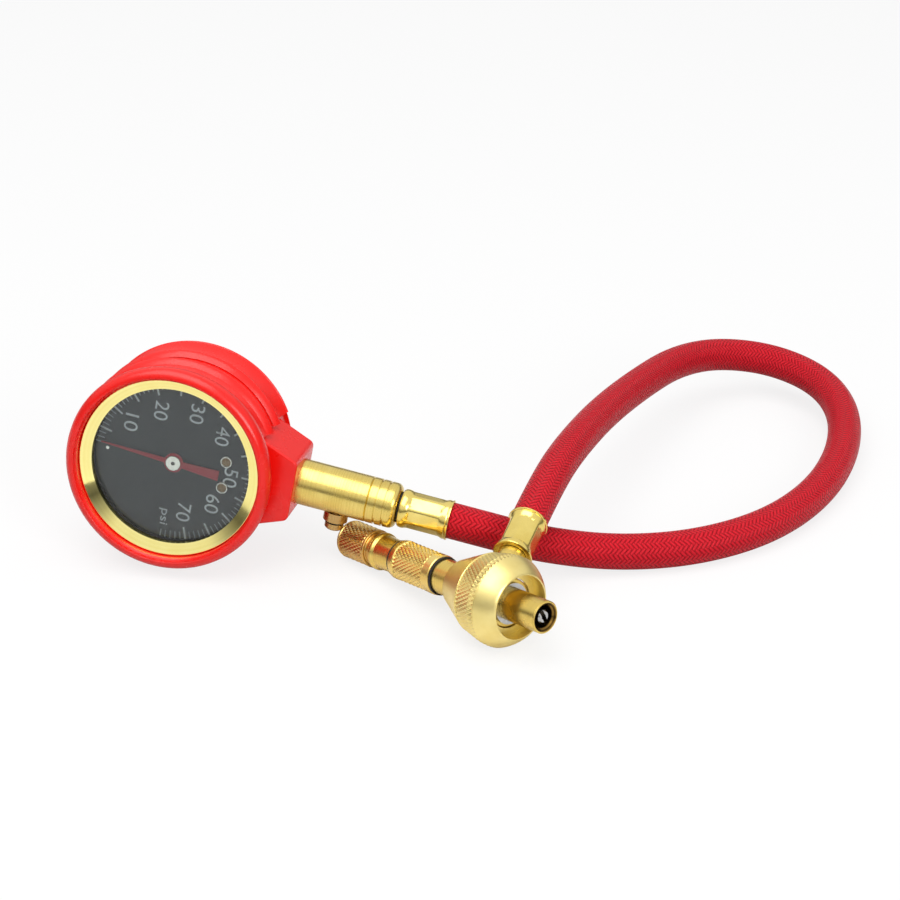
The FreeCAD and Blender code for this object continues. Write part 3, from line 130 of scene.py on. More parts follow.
# %% Middle line of the hose
line_data = bpy.data.curves.new("hose_line", "CURVE")
line_data.dimensions = "3D"
line_data.resolution_u = 24
spline = line_data.splines.new("NURBS")
spline.points.add(len(route) - 1)
for point, place in zip(spline.points, route):
    point.co = (*place, 1)
spline.order_u = 3
spline.use_endpoint_u = True
line = bpy.data.objects.new("hose_line", line_data)
bpy.context.scene.collection.objects.link(line)
evaluated = line.evaluated_get(bpy.context.evaluated_depsgraph_get())
flat_line = bpy.data.meshes.new_from_object(evaluated)
hose_points = [vertex.co.copy() for vertex in flat_line.vertices]
bpy.data.meshes.remove(flat_line)
bpy.data.objects.remove(line)
hose_length = sum((b - a).length for a, b in zip(hose_points, hose_points[1:]))
print("hose follows", len(hose_points), "points,", round(hose_length / MM, 1), "mm")

# %% [markdown]
# ## The woven cover
# The weave's relief is about a third of a millimetre, so the tube's own mesh is smooth and the
# material carries the weave. For that the mesh gets coordinates round and along the hose. Each ring
# of corners follows from the one before it without twisting, so the weave doesn't twist either.

# %% Rings of the tube
AROUND = 64
circumference = 2 * math.pi * HOSE_RADIUS
side = start_way.orthogonal().normalized()
verts, heights = [], []
along = 0.0
previous = hose_points[0]
for index, point in enumerate(hose_points):
    ahead = hose_points[min(index + 1, len(hose_points) - 1)]
    behind = hose_points[max(index - 1, 0)]
    way = (ahead - behind).normalized()
    side = (side - way * side.dot(way)).normalized()
    other_side = way.cross(side)
    along += (point - previous).length
    previous = point
    heights.append(along / circumference)
    for count in range(AROUND):
        angle = 2 * math.pi * count / AROUND
        out = side * math.cos(angle) + other_side * math.sin(angle)
        verts.append(point + out * HOSE_RADIUS)
print("tube has", len(heights), "rings of", AROUND)

# %% Faces and weave coordinates
faces = []
for ring in range(len(hose_points) - 1):
    for count in range(AROUND):
        after = (count + 1) % AROUND
        faces.append((ring * AROUND + count, ring * AROUND + after,
                      (ring + 1) * AROUND + after, (ring + 1) * AROUND + count))
faces.append(tuple(reversed(range(AROUND))))
faces.append(tuple(range(len(verts) - AROUND, len(verts))))
braid_mesh = bpy.data.meshes.new("hose_cover")
braid_mesh.from_pydata([tuple(v) for v in verts], [], faces)
weave = braid_mesh.uv_layers.new(name="weave")
for face in braid_mesh.polygons:
    if len(face.vertices) != 4:
        continue
    ring, count = divmod(face.vertices[0], AROUND)
    corners = ((count, ring), (count + 1, ring), (count + 1, ring + 1), (count, ring + 1))
    for loop, (spot, level) in zip(face.loop_indices, corners):
        weave.data[loop].uv = (spot / AROUND, heights[level])
braid_mesh.validate()
hose = bpy.data.objects.new("hose_cover", braid_mesh)
bpy.context.scene.collection.objects.link(hose)
braid_mesh.shade_smooth()
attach(hose, "frame")
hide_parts("hose_braid", "hose_liner")
print("woven cover has", len(braid_mesh.polygons), "faces")

# %% [markdown]
# ## Colours and nodes
# Colours are written as the hex values seen on a screen, and one function turns them to the linear
# values that Blender works in. One more adds a node with its settings and links. A third finds a
# piece's own axis in the pattern's coordinates, so that lathe marks run round it.

# %% Helpers for materials
def colour(code):
    """Linear colour from a hex value such as D8C27A."""
    values = [int(code[k:k + 2], 16) / 255 for k in (0, 2, 4)]
    return tuple(v / 12.92 if v <= 0.04045 else ((v + 0.055) / 1.055) ** 2.4
                 for v in values) + (1.0,)


def add(tree, kind, inputs=None, out=0, **settings):
    """Adds a node and gives back one of its outputs. inputs gives each socket a value, or the
    output that feeds it. settings are the node's own properties."""
    node = tree.nodes.new("ShaderNode" + kind)
    for name, value in settings.items():
        setattr(node, name, value)
    for socket, value in (inputs or {}).items():
        if isinstance(value, bpy.types.NodeSocket):
            tree.links.new(value, node.inputs[socket])
        else:
            node.inputs[socket].default_value = value
    return node.outputs[out] if node.outputs else None


def start_material(name):
    """An empty material, and its tree."""
    material = bpy.data.materials.new(name)
    material.use_nodes = True
    material.node_tree.nodes.clear()
    print("material", name)
    return material, material.node_tree


def own_axis(tree, place):
    """Object coordinates seen from a placement, so that X runs along the piece's own axis."""
    where = add(tree, "TexCoord", out="Object")
    return add(tree, "Mapping", {"Vector": where, "Location": place.to_translation(),
                                 "Rotation": place.to_euler()}, vector_type="TEXTURE")


def wear(material, *names):
    """Puts one material on these CAD nodes."""
    for name in names:
        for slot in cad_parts[name].material_slots:
            slot.link = "OBJECT"
            slot.material = material


USUAL = {"From Min": 0.3, "From Max": 0.7}      # where nearly all of a noise's values lie

# %% [markdown]
# ## Brass
# The stem, the fittings and the head are free-cutting brass, turned on a lathe under a thin pale
# gilt coat. Turning leaves rings about a tenth of a millimetre apart, which stretch each highlight
# along the part. The rings here are drawn three to five times as coarse, so that they show. The
# bell was then blasted with fine beads, which leaves an even satin, and the bezel was polished.
# Inside the nose the bore is painted dark, and its thread is painted as dark and light rings at the
# pitch of a tyre valve's thread, 0.8 mm; these rings are painted shade and light on its flanks.

# %% Brass
CLOUD = 7.0                  # mm, size of the drifts in tone
RING_DEPTH = 0.02            # mm, of the lathe's rings
PIT_DEPTH = 0.03             # mm, of the blasted or knurled grain
PIT_STRENGTH = 0.35
HALF_PITCH = 0.4             # mm, half the pitch of the thread in the nose


def brass(name, place, tones, roughness, rings=0.0, grain=0.0, cut=0.5, bore=0.0):
    """Brass about a placement's axis, in two tones and a third for the rings. rings is the rings'
    spacing in millimetres, cut their strength and grain the size of a blasted grain. Inside the
    radius bore the brass gets painted shade, and its thread is painted as dark and light rings."""
    material, tree = start_material(name)
    spot = own_axis(tree, place)
    cloud = add(tree, "TexNoise", {"Vector": spot, "Scale": 1 / (CLOUD * MM), "Detail": 3.0})
    share = add(tree, "MapRange", {"Value": cloud, **USUAL})
    shade = add(tree, "Mix", {0: share, 6: colour(tones[0]), 7: colour(tones[1])}, out=2,
                data_type="RGBA")
    gloss = add(tree, "MapRange", {"Value": cloud, **USUAL, "To Min": roughness - 0.03,
                                   "To Max": roughness + 0.05})
    inputs = {"Metallic": 1.0, "Roughness": gloss}
    if rings or bore:
        along = add(tree, "SeparateXYZ", {"Vector": spot}, out="X")
    if rings:
        marks = add(tree, "TexNoise", {"W": along, "Scale": 1 / (rings * MM), "Detail": 2.0},
                    noise_dimensions="1D")
        share = add(tree, "MapRange", {"Value": marks, **USUAL, "To Max": 0.5})
        shade = add(tree, "Mix", {0: share, 6: shade, 7: colour(tones[2])}, out=2,
                    data_type="RGBA")
        inputs["Normal"] = add(tree, "Bump", {"Height": marks, "Strength": cut,
                                              "Distance": RING_DEPTH * MM})
    if grain:
        pits = add(tree, "TexNoise", {"Vector": spot, "Scale": 1 / (grain * MM), "Detail": 2.0})
        inputs["Normal"] = add(tree, "Bump", {"Height": pits, "Strength": PIT_STRENGTH,
                                              "Distance": PIT_DEPTH * MM})
    # Painted shade: inside the bore the brass is drawn dark, and the thread as dark and light rings
    # that stand in for its shaded and lit flanks.
    if bore:
        across = add(tree, "VectorMath", {0: spot, 1: (0, 1, 1)}, operation="MULTIPLY")
        out = add(tree, "VectorMath", {0: across}, out="Value", operation="LENGTH")
        inside = add(tree, "Math", {0: out, 1: bore * MM}, operation="LESS_THAN")
        flank = add(tree, "Math", {0: along, 1: HALF_PITCH * MM}, operation="PINGPONG")
        share = add(tree, "MapRange", {"Value": flank, "From Max": HALF_PITCH * MM})
        thread = add(tree, "Mix", {0: share, 6: colour("8A6A32"), 7: colour("2A1E0E")}, out=2,
                     data_type="RGBA")
        shade = add(tree, "Mix", {0: inside, 6: shade, 7: thread}, out=2, data_type="RGBA")
    shader = add(tree, "BsdfPrincipled", {"Base Color": shade, **inputs})
    add(tree, "OutputMaterial", {"Surface": shader})
    return material


# %% Brass in its finishes
GILT = ("E8CE76", "DEC168", "C2A04A")
CRIMPED = ("EED880", "E2C86C")
stem_brass = brass("turned_gilt_brass_stem", GAUGE, ("E8D27C", "DEC56C", "C4A54E"), 0.25,
                   rings=0.35)
turned_head_brass = brass("turned_gilt_brass_head", HEAD, GILT, 0.27, rings=0.35)
nose_brass = brass("turned_brass_nose_painted_bore_shade", HEAD, GILT, 0.25, rings=0.35, bore=5.1)
port_brass = brass("turned_gilt_brass_port", PORT, GILT, 0.25, rings=0.3)
blasted_brass = brass("bead_blasted_brass", HEAD, ("EDDA90", "E4CE80"), 0.36, grain=0.16)
knurled_brass = brass("knurled_brass", HEAD, ("EBD080", "DCBC68"), 0.28, grain=0.3)
# Painted shade: the knob's brass is a darker, browner copy of the head's, partly its own browned
# tone and partly painted shade.
browned_and_shaded_knob_brass = brass("browned_and_shaded_brass", HEAD, ("DDBC74", "CDA45C"), 0.30, grain=0.6)
button_brass = brass("browned_brass_button", GAUGE, ("CDAE74", "B8925A", "A07C46"), 0.28,
                     rings=0.4)
polished_brass = brass("polished_brass_bezel", DIAL, ("FAF0A2", "F6E894", "ECDA80"), 0.07,
                       rings=0.5, cut=0.1)
crimped_gauge = brass("crimped_brass_gauge", GAUGE, CRIMPED, 0.18, grain=1.2)
crimped_port = brass("crimped_brass_port", PORT, CRIMPED, 0.18, grain=1.2)
plain_brass = brass("rolled_brass_movement", GAUGE, ("CFAE62", "B9954A"), 0.33, grain=0.5)
wear(stem_brass, "stem_body", "stem_end_cap", "gauge_case", "gauge_hose_barb")
wear(button_brass, "bleed_housing", "bleed_button")
wear(turned_head_brass, "head_body", "gland_nut")
wear(nose_brass, "coupling_spindle")
wear(port_brass, "head_hose_fitting")
wear(polished_brass, "bezel_ring")
wear(plain_brass, "socket_block", "movement_back_plate", "movement_front_plate",
     "movement_pillars", "sector_gear", "connecting_link", "bourdon_tube", "tube_tip_block")

# %% [markdown]
# ## Rubber
# The boot is soft red rubber, pressed in a polished mould: a smooth satin skin with a faint
# orange-peel, so its highlights are broad and its shaded sides a deep clear red. The small rings
# are black nitrile rubber, which is dull.

# %% Red boot and black seals
BLOOM = 12.0                 # mm, size of the drifts in tone
PEEL_SIZE = 0.8              # mm, size of the orange-peel


def rubber(name, place, light, dark, roughness, peel):
    """Moulded rubber. peel is the depth of the orange-peel in hundredths of a millimetre."""
    material, tree = start_material(name)
    spot = own_axis(tree, place)
    bloom = add(tree, "TexNoise", {"Vector": spot, "Scale": 1 / (BLOOM * MM), "Detail": 4.0})
    skin = add(tree, "TexNoise", {"Vector": spot, "Scale": 1 / (PEEL_SIZE * MM), "Detail": 2.0})
    bump = add(tree, "Bump", {"Height": skin, "Strength": 0.4, "Distance": peel * 0.01 * MM})
    share = add(tree, "MapRange", {"Value": bloom, **USUAL})
    shade = add(tree, "Mix", {0: share, 6: colour(light), 7: colour(dark)}, out=2,
                data_type="RGBA")
    gloss = add(tree, "MapRange", {"Value": bloom, **USUAL, "To Min": roughness - 0.04,
                                   "To Max": roughness + 0.06})
    shader = add(tree, "BsdfPrincipled", {"Base Color": shade, "Roughness": gloss,
                                          "Normal": bump, "IOR": 1.5})
    add(tree, "OutputMaterial", {"Surface": shader})
    return material


boot_rubber = rubber("moulded_red_rubber", GAUGE, "F4140A", "EA0E06", 0.27, 1.2)
seal_rubber = rubber("black_nitrile_rubber", HEAD, "191817", "100F0F", 0.55, 3.0)
wear(boot_rubber, "gauge_boot")
wear(seal_rubber, "lens_gasket", "stem_seal", "end_cap_o_ring", "bleed_button_seal",
     "spindle_o_rings", "bell_o_ring", "coupling_seal", "sleeve_washer", "gland_o_ring",
     "rod_o_ring", "hose_liner")

# %% [markdown]
# ## Painted, plated and printed parts
# The dial is an aluminium disc with a baked dark grey coat, the needle is painted red, and the hub,
# the ring behind the nose and the core tool are bright plated steel.

# %% Dial coat, paint and plating
PLATE_CLOUD = 1.5            # mm, size of the drifts in the plating's gloss


def coat(name, light, dark, roughness, size):
    """A thin even coat on the dial, with a fine grain of this size in millimetres."""
    material, tree = start_material(name)
    spot = own_axis(tree, DIAL)
    grain = add(tree, "TexNoise", {"Vector": spot, "Scale": 1 / (size * MM), "Detail": 2.0})
    bump = add(tree, "Bump", {"Height": grain, "Strength": 0.2, "Distance": 0.01 * MM})
    share = add(tree, "MapRange", {"Value": grain, **USUAL})
    shade = add(tree, "Mix", {0: share, 6: colour(light), 7: colour(dark)}, out=2,
                data_type="RGBA")
    shader = add(tree, "BsdfPrincipled", {"Base Color": shade, "Roughness": roughness,
                                          "Normal": bump})
    add(tree, "OutputMaterial", {"Surface": shader})
    return material


def plating(name, place, light, dark, roughness):
    """Plated or coloured steel, whose tone and gloss drift a little."""
    material, tree = start_material(name)
    spot = own_axis(tree, place)
    cloud = add(tree, "TexNoise", {"Vector": spot, "Scale": 1 / (PLATE_CLOUD * MM),
                                   "Detail": 3.0})
    shade = add(tree, "Mix", {0: cloud, 6: colour(light), 7: colour(dark)}, out=2,
                data_type="RGBA")
    gloss = add(tree, "MapRange", {"Value": cloud, **USUAL, "To Min": roughness - 0.03,
                                   "To Max": roughness + 0.06})
    shader = add(tree, "BsdfPrincipled", {"Base Color": shade, "Metallic": 1.0,
                                          "Roughness": gloss})
    add(tree, "OutputMaterial", {"Surface": shader})
    return material


dial_coat = coat("baked_grey_dial_coat", "242E33", "1E272B", 0.6, 0.4)
dial_white = coat("white_dial_print", "F6F9FA", "EBF0F2", 0.5, 0.5)
dial_grey = coat("grey_dial_print", "C2CBD0", "B4BEC4", 0.5, 0.5)
needle_paint = coat("red_needle_paint", "CE2838", "BE2030", 0.4, 0.6)
bright_steel = plating("bright_plated_steel", HEAD, "C9C9C7", "9C9C9A", 0.2)
hub_steel = plating("bright_hub", GAUGE, "EDEAE0", "D6D2C6", 0.22)
bronzed_steel = plating("bronzed_screw_steel", GAUGE, "8E7450", "644E34", 0.3)
dark_steel = plating("blued_spindle_steel", GAUGE, "5A5650", "3E3B38", 0.3)
wear(dial_coat, "dial_plate")
wear(needle_paint, "pointer")
wear(hub_steel, "pointer_hub", "pointer_stop_pin", "hairspring")
wear(dark_steel, "pointer_spindle")
wear(bright_steel, "thrust_ring", "tool_tip", "tool_rod", "bleed_spring")
wear(bronzed_steel, "dial_screws", "movement_screws")

# %% [markdown]
# ## The window
# The window is a thin clear acrylic disc. A thin pane hardly bends the light, so it is made of a
# clear part that lets all through, and a mirror part that grows towards the edges as Fresnel says.

# %% Clear window
window_glass, tree = start_material("clear_acrylic_window")
clear = add(tree, "BsdfTransparent", {"Color": colour("F7FAFA")})
gloss = add(tree, "BsdfPrincipled", {"Base Color": colour("FFFFFF"), "Metallic": 1.0,
                                     "Roughness": 0.06})
edge = add(tree, "Fresnel", {"IOR": 1.45})
pane = add(tree, "MixShader", {0: edge, 1: clear, 2: gloss})
add(tree, "OutputMaterial", {"Surface": pane})
wear(window_glass, "gauge_lens")

# %% [markdown]
# ## The weave
# The yarn is glossy red polyester. A braider winds bundles of it both ways round the rubber, two
# over and two under, which gives columns of arrowheads. Each bundle holds three yarns. The gaps
# between bundles get painted shade in a deep dark red, and each yarn's back gets a painted
# highlight.
# The pattern reads the hose's own coordinates, round and along, both in turns of the hose. Two
# numbers set it: the bundles each way, and their slant.
#
# Each way round, a coordinate is slanted and multiplied by the number of bundles. Its whole part
# then numbers the bundle, and its fraction is the place across it. Where the two numbers add up to
# 0 or 1 in every four, the first way lies on top, which is two over and two under.

# %% Which bundle lies on top
BUNDLES = 20                 # each way round
SLANT = 1.2                  # turns that a bundle makes over one circumference of length
yarn, tree = start_material("woven_red_polyester")
lie = add(tree, "SeparateXYZ", {"Vector": add(tree, "UVMap", uv_map="weave")}).node.outputs
slid = add(tree, "Math", {0: lie["Y"], 1: SLANT}, operation="MULTIPLY")
back_turned = add(tree, "Math", {0: lie["X"], 1: slid}, operation="SUBTRACT")
fore_turned = add(tree, "Math", {0: lie["X"], 1: slid}, operation="ADD")
one_way = add(tree, "Math", {0: back_turned, 1: BUNDLES}, operation="MULTIPLY")
other_way = add(tree, "Math", {0: fore_turned, 1: BUNDLES}, operation="MULTIPLY")
one_number = add(tree, "Math", {0: one_way}, operation="FLOOR")
other_number = add(tree, "Math", {0: other_way}, operation="FLOOR")
counted = add(tree, "Math", {0: one_number, 1: other_number}, operation="ADD")
phase = add(tree, "Math", {0: counted, 1: 4.0}, operation="FLOORED_MODULO")
on_top = add(tree, "Math", {0: phase, 1: 1.5}, operation="LESS_THAN")
one_place = add(tree, "Math", {0: one_way}, operation="FRACT")
other_place = add(tree, "Math", {0: other_way}, operation="FRACT")
across = add(tree, "Mix", {0: on_top, 2: other_place, 3: one_place})
print("weave:", BUNDLES, "bundles each way,", round(circumference / MM / BUNDLES, 2), "mm wide")


# %% Woven red yarn
def arch(tree, place):
    """Rises from 0 to 1 and falls again as the place runs from 0 to 1, as a yarn's back does."""
    left = add(tree, "Math", {0: 1.0, 1: place}, operation="SUBTRACT")
    product = add(tree, "Math", {0: place, 1: left}, operation="MULTIPLY")
    return add(tree, "Math", {0: product, 1: 4.0}, operation="MULTIPLY")


YARNS = 3.0                  # in a bundle
FIBRE = 0.5                  # mm, size of the drifts in the fibres' tone
RELIEF = 0.35                # mm
bulge = arch(tree, across)
single = add(tree, "Math", {0: across, 1: YARNS}, operation="MULTIPLY")
strand = arch(tree, add(tree, "Math", {0: single}, operation="FRACT"))
fibre = add(tree, "TexNoise", {"Vector": add(tree, "TexCoord", out="Object"),
                               "Scale": 1 / (FIBRE * MM), "Detail": 3.0})
# Painted shade and highlight: the gaps between bundles are painted deep dark red, and the yarns'
# backs are painted bright where light would catch them.
depth = add(tree, "Math", {0: bulge, 1: 0.7}, operation="POWER")
painted_gap_shade = add(tree, "Mix", {0: depth, 6: colour("420206"), 7: colour("D0141F")}, out=2,
           data_type="RGBA")
weaker = add(tree, "Math", {0: bulge, 1: 0.6}, operation="MULTIPLY")
shine = add(tree, "Math", {0: strand, 1: weaker}, operation="MULTIPLY")
lit = add(tree, "Mix", {0: shine, 6: painted_gap_shade, 7: colour("F6394B")}, out=2, data_type="RGBA")
share = add(tree, "MapRange", {"Value": fibre, **USUAL, "To Max": 0.35})
body = add(tree, "Mix", {0: share, 6: lit, 7: colour("B40C16")}, out=2, data_type="RGBA")
ridge = add(tree, "Math", {0: strand, 1: 0.4}, operation="MULTIPLY")
relief = add(tree, "Math", {0: bulge, 1: ridge}, operation="ADD")
bump = add(tree, "Bump", {"Height": relief, "Strength": 0.8, "Distance": RELIEF * MM})
shader = add(tree, "BsdfPrincipled", {"Base Color": body, "Roughness": 0.4, "Normal": bump,
                                      "Specular IOR Level": 0.25,
                                      "Specular Tint": colour("FF8C94")})
add(tree, "OutputMaterial", {"Surface": shader})
hose.data.materials.append(yarn)

# %% [markdown]
# ## Modelling by hand
# The turned pieces start as a circle, the end of a bar. The ring is extruded along the axis and
# scaled at each step of the outline, as a turner works down a bar. Faces and edges are then picked
# by where they are. A Boolean cuts slots where two round forms meet, since no other tool finds that
# edge.

# %% Modelling helpers
def select_only(piece):
    """Selects one object and makes it the active one."""
    bpy.ops.object.select_all(action="DESELECT")
    piece.select_set(True)
    bpy.context.view_layer.objects.active = piece


def settle(piece, place):
    """Moves a piece's corners to their place, so that the object stays at the origin."""
    select_only(piece)
    piece.matrix_world = place
    bpy.ops.object.transform_apply(location=True, rotation=True, scale=True)


def pick(kind, test):
    """In edit mode, selects the vertices, edges or faces whose corners, in millimetres, pass a
    test."""
    bpy.ops.mesh.select_mode(type=kind)
    bpy.ops.mesh.select_all(action="DESELECT")
    form = bmesh.from_edit_mesh(bpy.context.edit_object.data)
    groups = {"VERT": form.verts, "EDGE": form.edges, "FACE": form.faces}
    found = 0
    for item in groups[kind]:
        corners = [item] if kind == "VERT" else item.verts
        if test([corner.co / MM for corner in corners]):
            item.select_set(True)
            found += 1
    bmesh.update_edit_mesh(bpy.context.edit_object.data)
    return found


def cut_away(piece, cutter):
    """Cuts one object out of another, and removes the cutter."""
    cut = piece.modifiers.new("cut", "BOOLEAN")
    cut.object = cutter
    cut.operation = "DIFFERENCE"
    cut.solver = "EXACT"
    select_only(piece)
    bpy.ops.object.modifier_apply(modifier="cut")
    bpy.data.objects.remove(cutter)


def join_as(name, group):
    """Joins objects into one of this name."""
    select_only(group[0])
    for made in group:
        made.select_set(True)
    bpy.ops.object.join()
    group[0].name = group[0].data.name = name
    return group[0]


# %% Turning on the lathe
MERGE = 0.004 * MM           # corners nearer than this become one, which closes the poles


def lathe(name, outline, steps):
    """Turns a closed half outline of (along, out) points, in millimetres, about X, and stays in
    edit mode."""
    bpy.ops.object.select_all(action="DESELECT")
    at, out = outline[0]
    bpy.ops.mesh.primitive_circle_add(vertices=steps, radius=out * MM, location=(at * MM, 0, 0),
                                      rotation=(0, math.pi / 2, 0))
    piece = bpy.context.object
    piece.name = piece.data.name = name
    bpy.ops.object.transform_apply(location=True, rotation=True, scale=True)
    bpy.ops.object.mode_set(mode="EDIT")
    bpy.ops.mesh.select_mode(type="VERT")
    bpy.ops.mesh.select_all(action="SELECT")
    for along, radius in outline[1:]:
        step = ((along - at) * MM, 0, 0)
        bpy.ops.mesh.extrude_edges_move(TRANSFORM_OT_translate={"value": step})
        bpy.ops.transform.resize(value=(1, radius / out, radius / out),
                                 center_override=(along * MM, 0, 0))
        at, out = along, radius
    bpy.ops.mesh.select_all(action="SELECT")
    bpy.ops.mesh.remove_doubles(threshold=MERGE)
    bpy.ops.mesh.normals_make_consistent(inside=False)
    return piece


def bow(start, middle, end, count):
    """Points of the arc through three (along, out) points, the first left out."""
    (ax, ay), (bx, by), (cx, cy) = start, middle, end
    a, b, c = ax * ax + ay * ay, bx * bx + by * by, cx * cx + cy * cy
    d = 2 * (ax * (by - cy) + bx * (cy - ay) + cx * (ay - by))
    ux = (a * (by - cy) + b * (cy - ay) + c * (ay - by)) / d
    uy = (a * (cx - bx) + b * (ax - cx) + c * (bx - ax)) / d
    radius = math.hypot(ax - ux, ay - uy)
    first = math.atan2(ay - uy, ax - ux)
    sweep = math.remainder(math.atan2(cy - uy, cx - ux) - first, 2 * math.pi)
    angles = [first + sweep * k / count for k in range(1, count + 1)]
    return [(ux + radius * math.cos(angle), uy + radius * math.sin(angle)) for angle in angles]


def stations(start, stop, rows, radius):
    """Outline points of a straight band that is divided into rows."""
    return [(start + (stop - start) * k / rows, radius) for k in range(rows + 1)]


# %% Placing and finishing a piece
SMOOTH_ANGLE = math.radians(28)


def finish_piece(piece, place, material, body, slot, *nodes):
    """Leaves edit mode, shades, puts the piece in its place for good and gives it its body and
    material."""
    if piece.mode == "EDIT":
        bpy.ops.object.mode_set(mode="OBJECT")
    select_only(piece)
    bpy.ops.object.shade_smooth_by_angle(angle=SMOOTH_ANGLE)
    settle(piece, place)
    piece.data.materials.clear()
    piece.data.materials.append(material)
    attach(piece, body)
    if nodes:
        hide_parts(*nodes)
    print(piece.name, len(piece.data.polygons), "faces")


# %% [markdown]
# ## The boot's lip and ribs
# The boot grips the bezel with a fat rolled lip, and two of its bands end in rounded ribs. They
# catch the light where the plain bands are in shade, so they are modelled with finer sections than
# the CAD's. The ribs stop at the block that carries the stem.

# %% Lip and ribs of the boot
BOOT_STEPS = 144
GAP_ANGLE = math.radians(30.2)       # the ribs stop this far round from the stem, each side
LIP_OUTLINE = [(14.5, 34.6), (14.5, 35.4), (16.5, 36.4), (18.4, 37.1), (20.3, 37.35),
               (21.8, 37.0), (22.9, 36.2), (23.55, 35.1), (23.6, 34.3), (23.2, 33.9),
               (20.0, 34.4), (14.5, 34.6)]
RIB_SECTION = [(0.3, -1.6), (-0.6, -1.4), (-0.7, -0.2), (-0.3, 0.5), (0.5, 0.75), (1.3, 0.45),
               (2.1, -0.25), (2.9, -1.2), (0.3, -1.6)]
RIBS = ((-2.6, 36.3), (7.3, 36.4))   # crest's station and radius


def in_gap(corners):
    return all(math.atan2(abs(c.y), -c.z) < GAP_ANGLE for c in corners)


lip = lathe("boot_lip", LIP_OUTLINE, BOOT_STEPS)
finish_piece(lip, DIAL, boot_rubber, "frame", "boot_rubber")
for number, (crest, radius) in enumerate(RIBS, start=1):
    outline = [(crest + along, radius + out) for along, out in RIB_SECTION]
    rib = lathe("boot_rib_" + str(number), outline, BOOT_STEPS)
    pick("FACE", in_gap)
    bpy.ops.mesh.delete(type="FACE")
    bpy.ops.mesh.select_mode(type="EDGE")
    bpy.ops.mesh.select_all(action="DESELECT")
    bpy.ops.mesh.select_non_manifold()
    bpy.ops.mesh.edge_face_add()
    finish_piece(rib, DIAL, boot_rubber, "frame", "boot_rubber")


# %% [markdown]
# ## Diamond knurling
# A knurling tool rolls two sets of crossing grooves into the brass, which leaves rows of small
# pyramids. Here a band of squares is poked to get its diagonals and the squares' own edges are
# dissolved, which leaves diamonds. Each diamond is then poked again and its middle lifted. Real
# knurls are finer, and these are as coarse as they have to be to show.

# %% Knurling
def knurl(start, stop, rows, least, depth):
    """Turns the band of squares between two stations into pyramids. least is a radius that is
    below the band."""
    pitch = (stop - start) / rows

    def in_band(corners):
        return all(start - 0.01 < c.x < stop + 0.01 and math.hypot(c.y, c.z) > least
                   for c in corners)

    def old_edge(corners):
        if not in_band(corners):
            return False
        places = [(c.x - start) / pitch for c in corners]
        if any(abs(place - round(place)) > 0.05 for place in places):
            return False
        return {round(place) for place in places} not in ({0}, {rows})

    pick("FACE", in_band)
    bpy.ops.mesh.poke()
    pick("EDGE", old_edge)
    bpy.ops.mesh.dissolve_edges(use_verts=False)
    print("diamonds:", pick("FACE", in_band))
    bpy.ops.mesh.poke(offset=depth * MM)


# %% [markdown]
# ## The vent bell
# The bell slides back on the barrel to let air out. It is one hollow turning: a blasted front dome,
# a knurled band to grip and a long smooth cone. A slot, open over its whole travel, clears the hose
# port. The slot is cut with a Boolean, because its edge is where a leaning cylinder meets the
# turned outside.

# %% Vent bell
BAND_ROWS = 4
BAND_START, BAND_STOP = 18.6, 29.2
BAND_PITCH = (BAND_STOP - BAND_START) / BAND_ROWS
BAND_FRONT = 16.15           # mm, radius where the dome ends
BAND_TOP, BAND_FALL = 16.71, 0.5525      # mm, radius of the band's line and its fall each row
BAND_DEPTH = 0.32
BELL_OUTLINE = [(17.0, 11.1), (12.2, 11.1), (12.0, 11.2), (12.0, 11.5), (12.12, 11.75)]
BELL_OUTLINE += bow((12.12, 11.75), (15.3, 14.4), (18.3, 16.0), 9)
BELL_OUTLINE += [(BAND_START, BAND_FRONT - BAND_DEPTH)]
BELL_OUTLINE += [(BAND_START + BAND_PITCH * k, BAND_TOP - BAND_DEPTH - BAND_FALL * k)
                 for k in range(1, BAND_ROWS + 1)]
BELL_OUTLINE += [(29.4, 14.45), (32.6, 12.95), (35.8, 11.46), (39.0, 9.96), (41.8, 8.65)]
BELL_OUTLINE += bow((41.8, 8.65), (42.5, 8.2), (42.8, 7.5), 4)
BELL_OUTLINE += [(42.8, 6.55), (33.6, 6.55), (33.6, 8.7), (17.0, 8.7), (17.0, 11.1)]
bell = lathe("vent_bell", BELL_OUTLINE, 64)
knurl(BAND_START, BAND_STOP, BAND_ROWS, least=13.0, depth=BAND_DEPTH)
bpy.ops.object.mode_set(mode="OBJECT")

# %% Slot of the vent bell
SLOT_HALF = 5.6              # mm, half the slot's width
SLOT_SLIDE = 6.7             # mm, how much longer it is, for the travel
SLOT_UP = 0.0198             # m, middle of the cutter from the head's axis
slope = math.tan(math.radians(PORT_LEAN))
bpy.ops.object.select_all(action="DESELECT")
bpy.ops.mesh.primitive_cylinder_add(vertices=64, radius=SLOT_HALF * MM, depth=30 * MM)
slot_cutter = bpy.context.object
settle(slot_cutter, Matrix.Translation((PORT_AT * MM, 0, 0)) @ turn(PORT_LEAN, "Y")
       @ Matrix.Translation((0, 0, SLOT_UP)))
bpy.ops.object.mode_set(mode="EDIT")
pick("VERT", lambda corners: corners[0].x - PORT_AT - corners[0].z * slope < 0.05)
bpy.ops.transform.translate(value=(-SLOT_SLIDE * MM, 0, 0))
bpy.ops.object.mode_set(mode="OBJECT")
cut_away(bell, slot_cutter)
finish_piece(bell, HEAD, blasted_brass, "bell", "head_brass", "slide_bell")
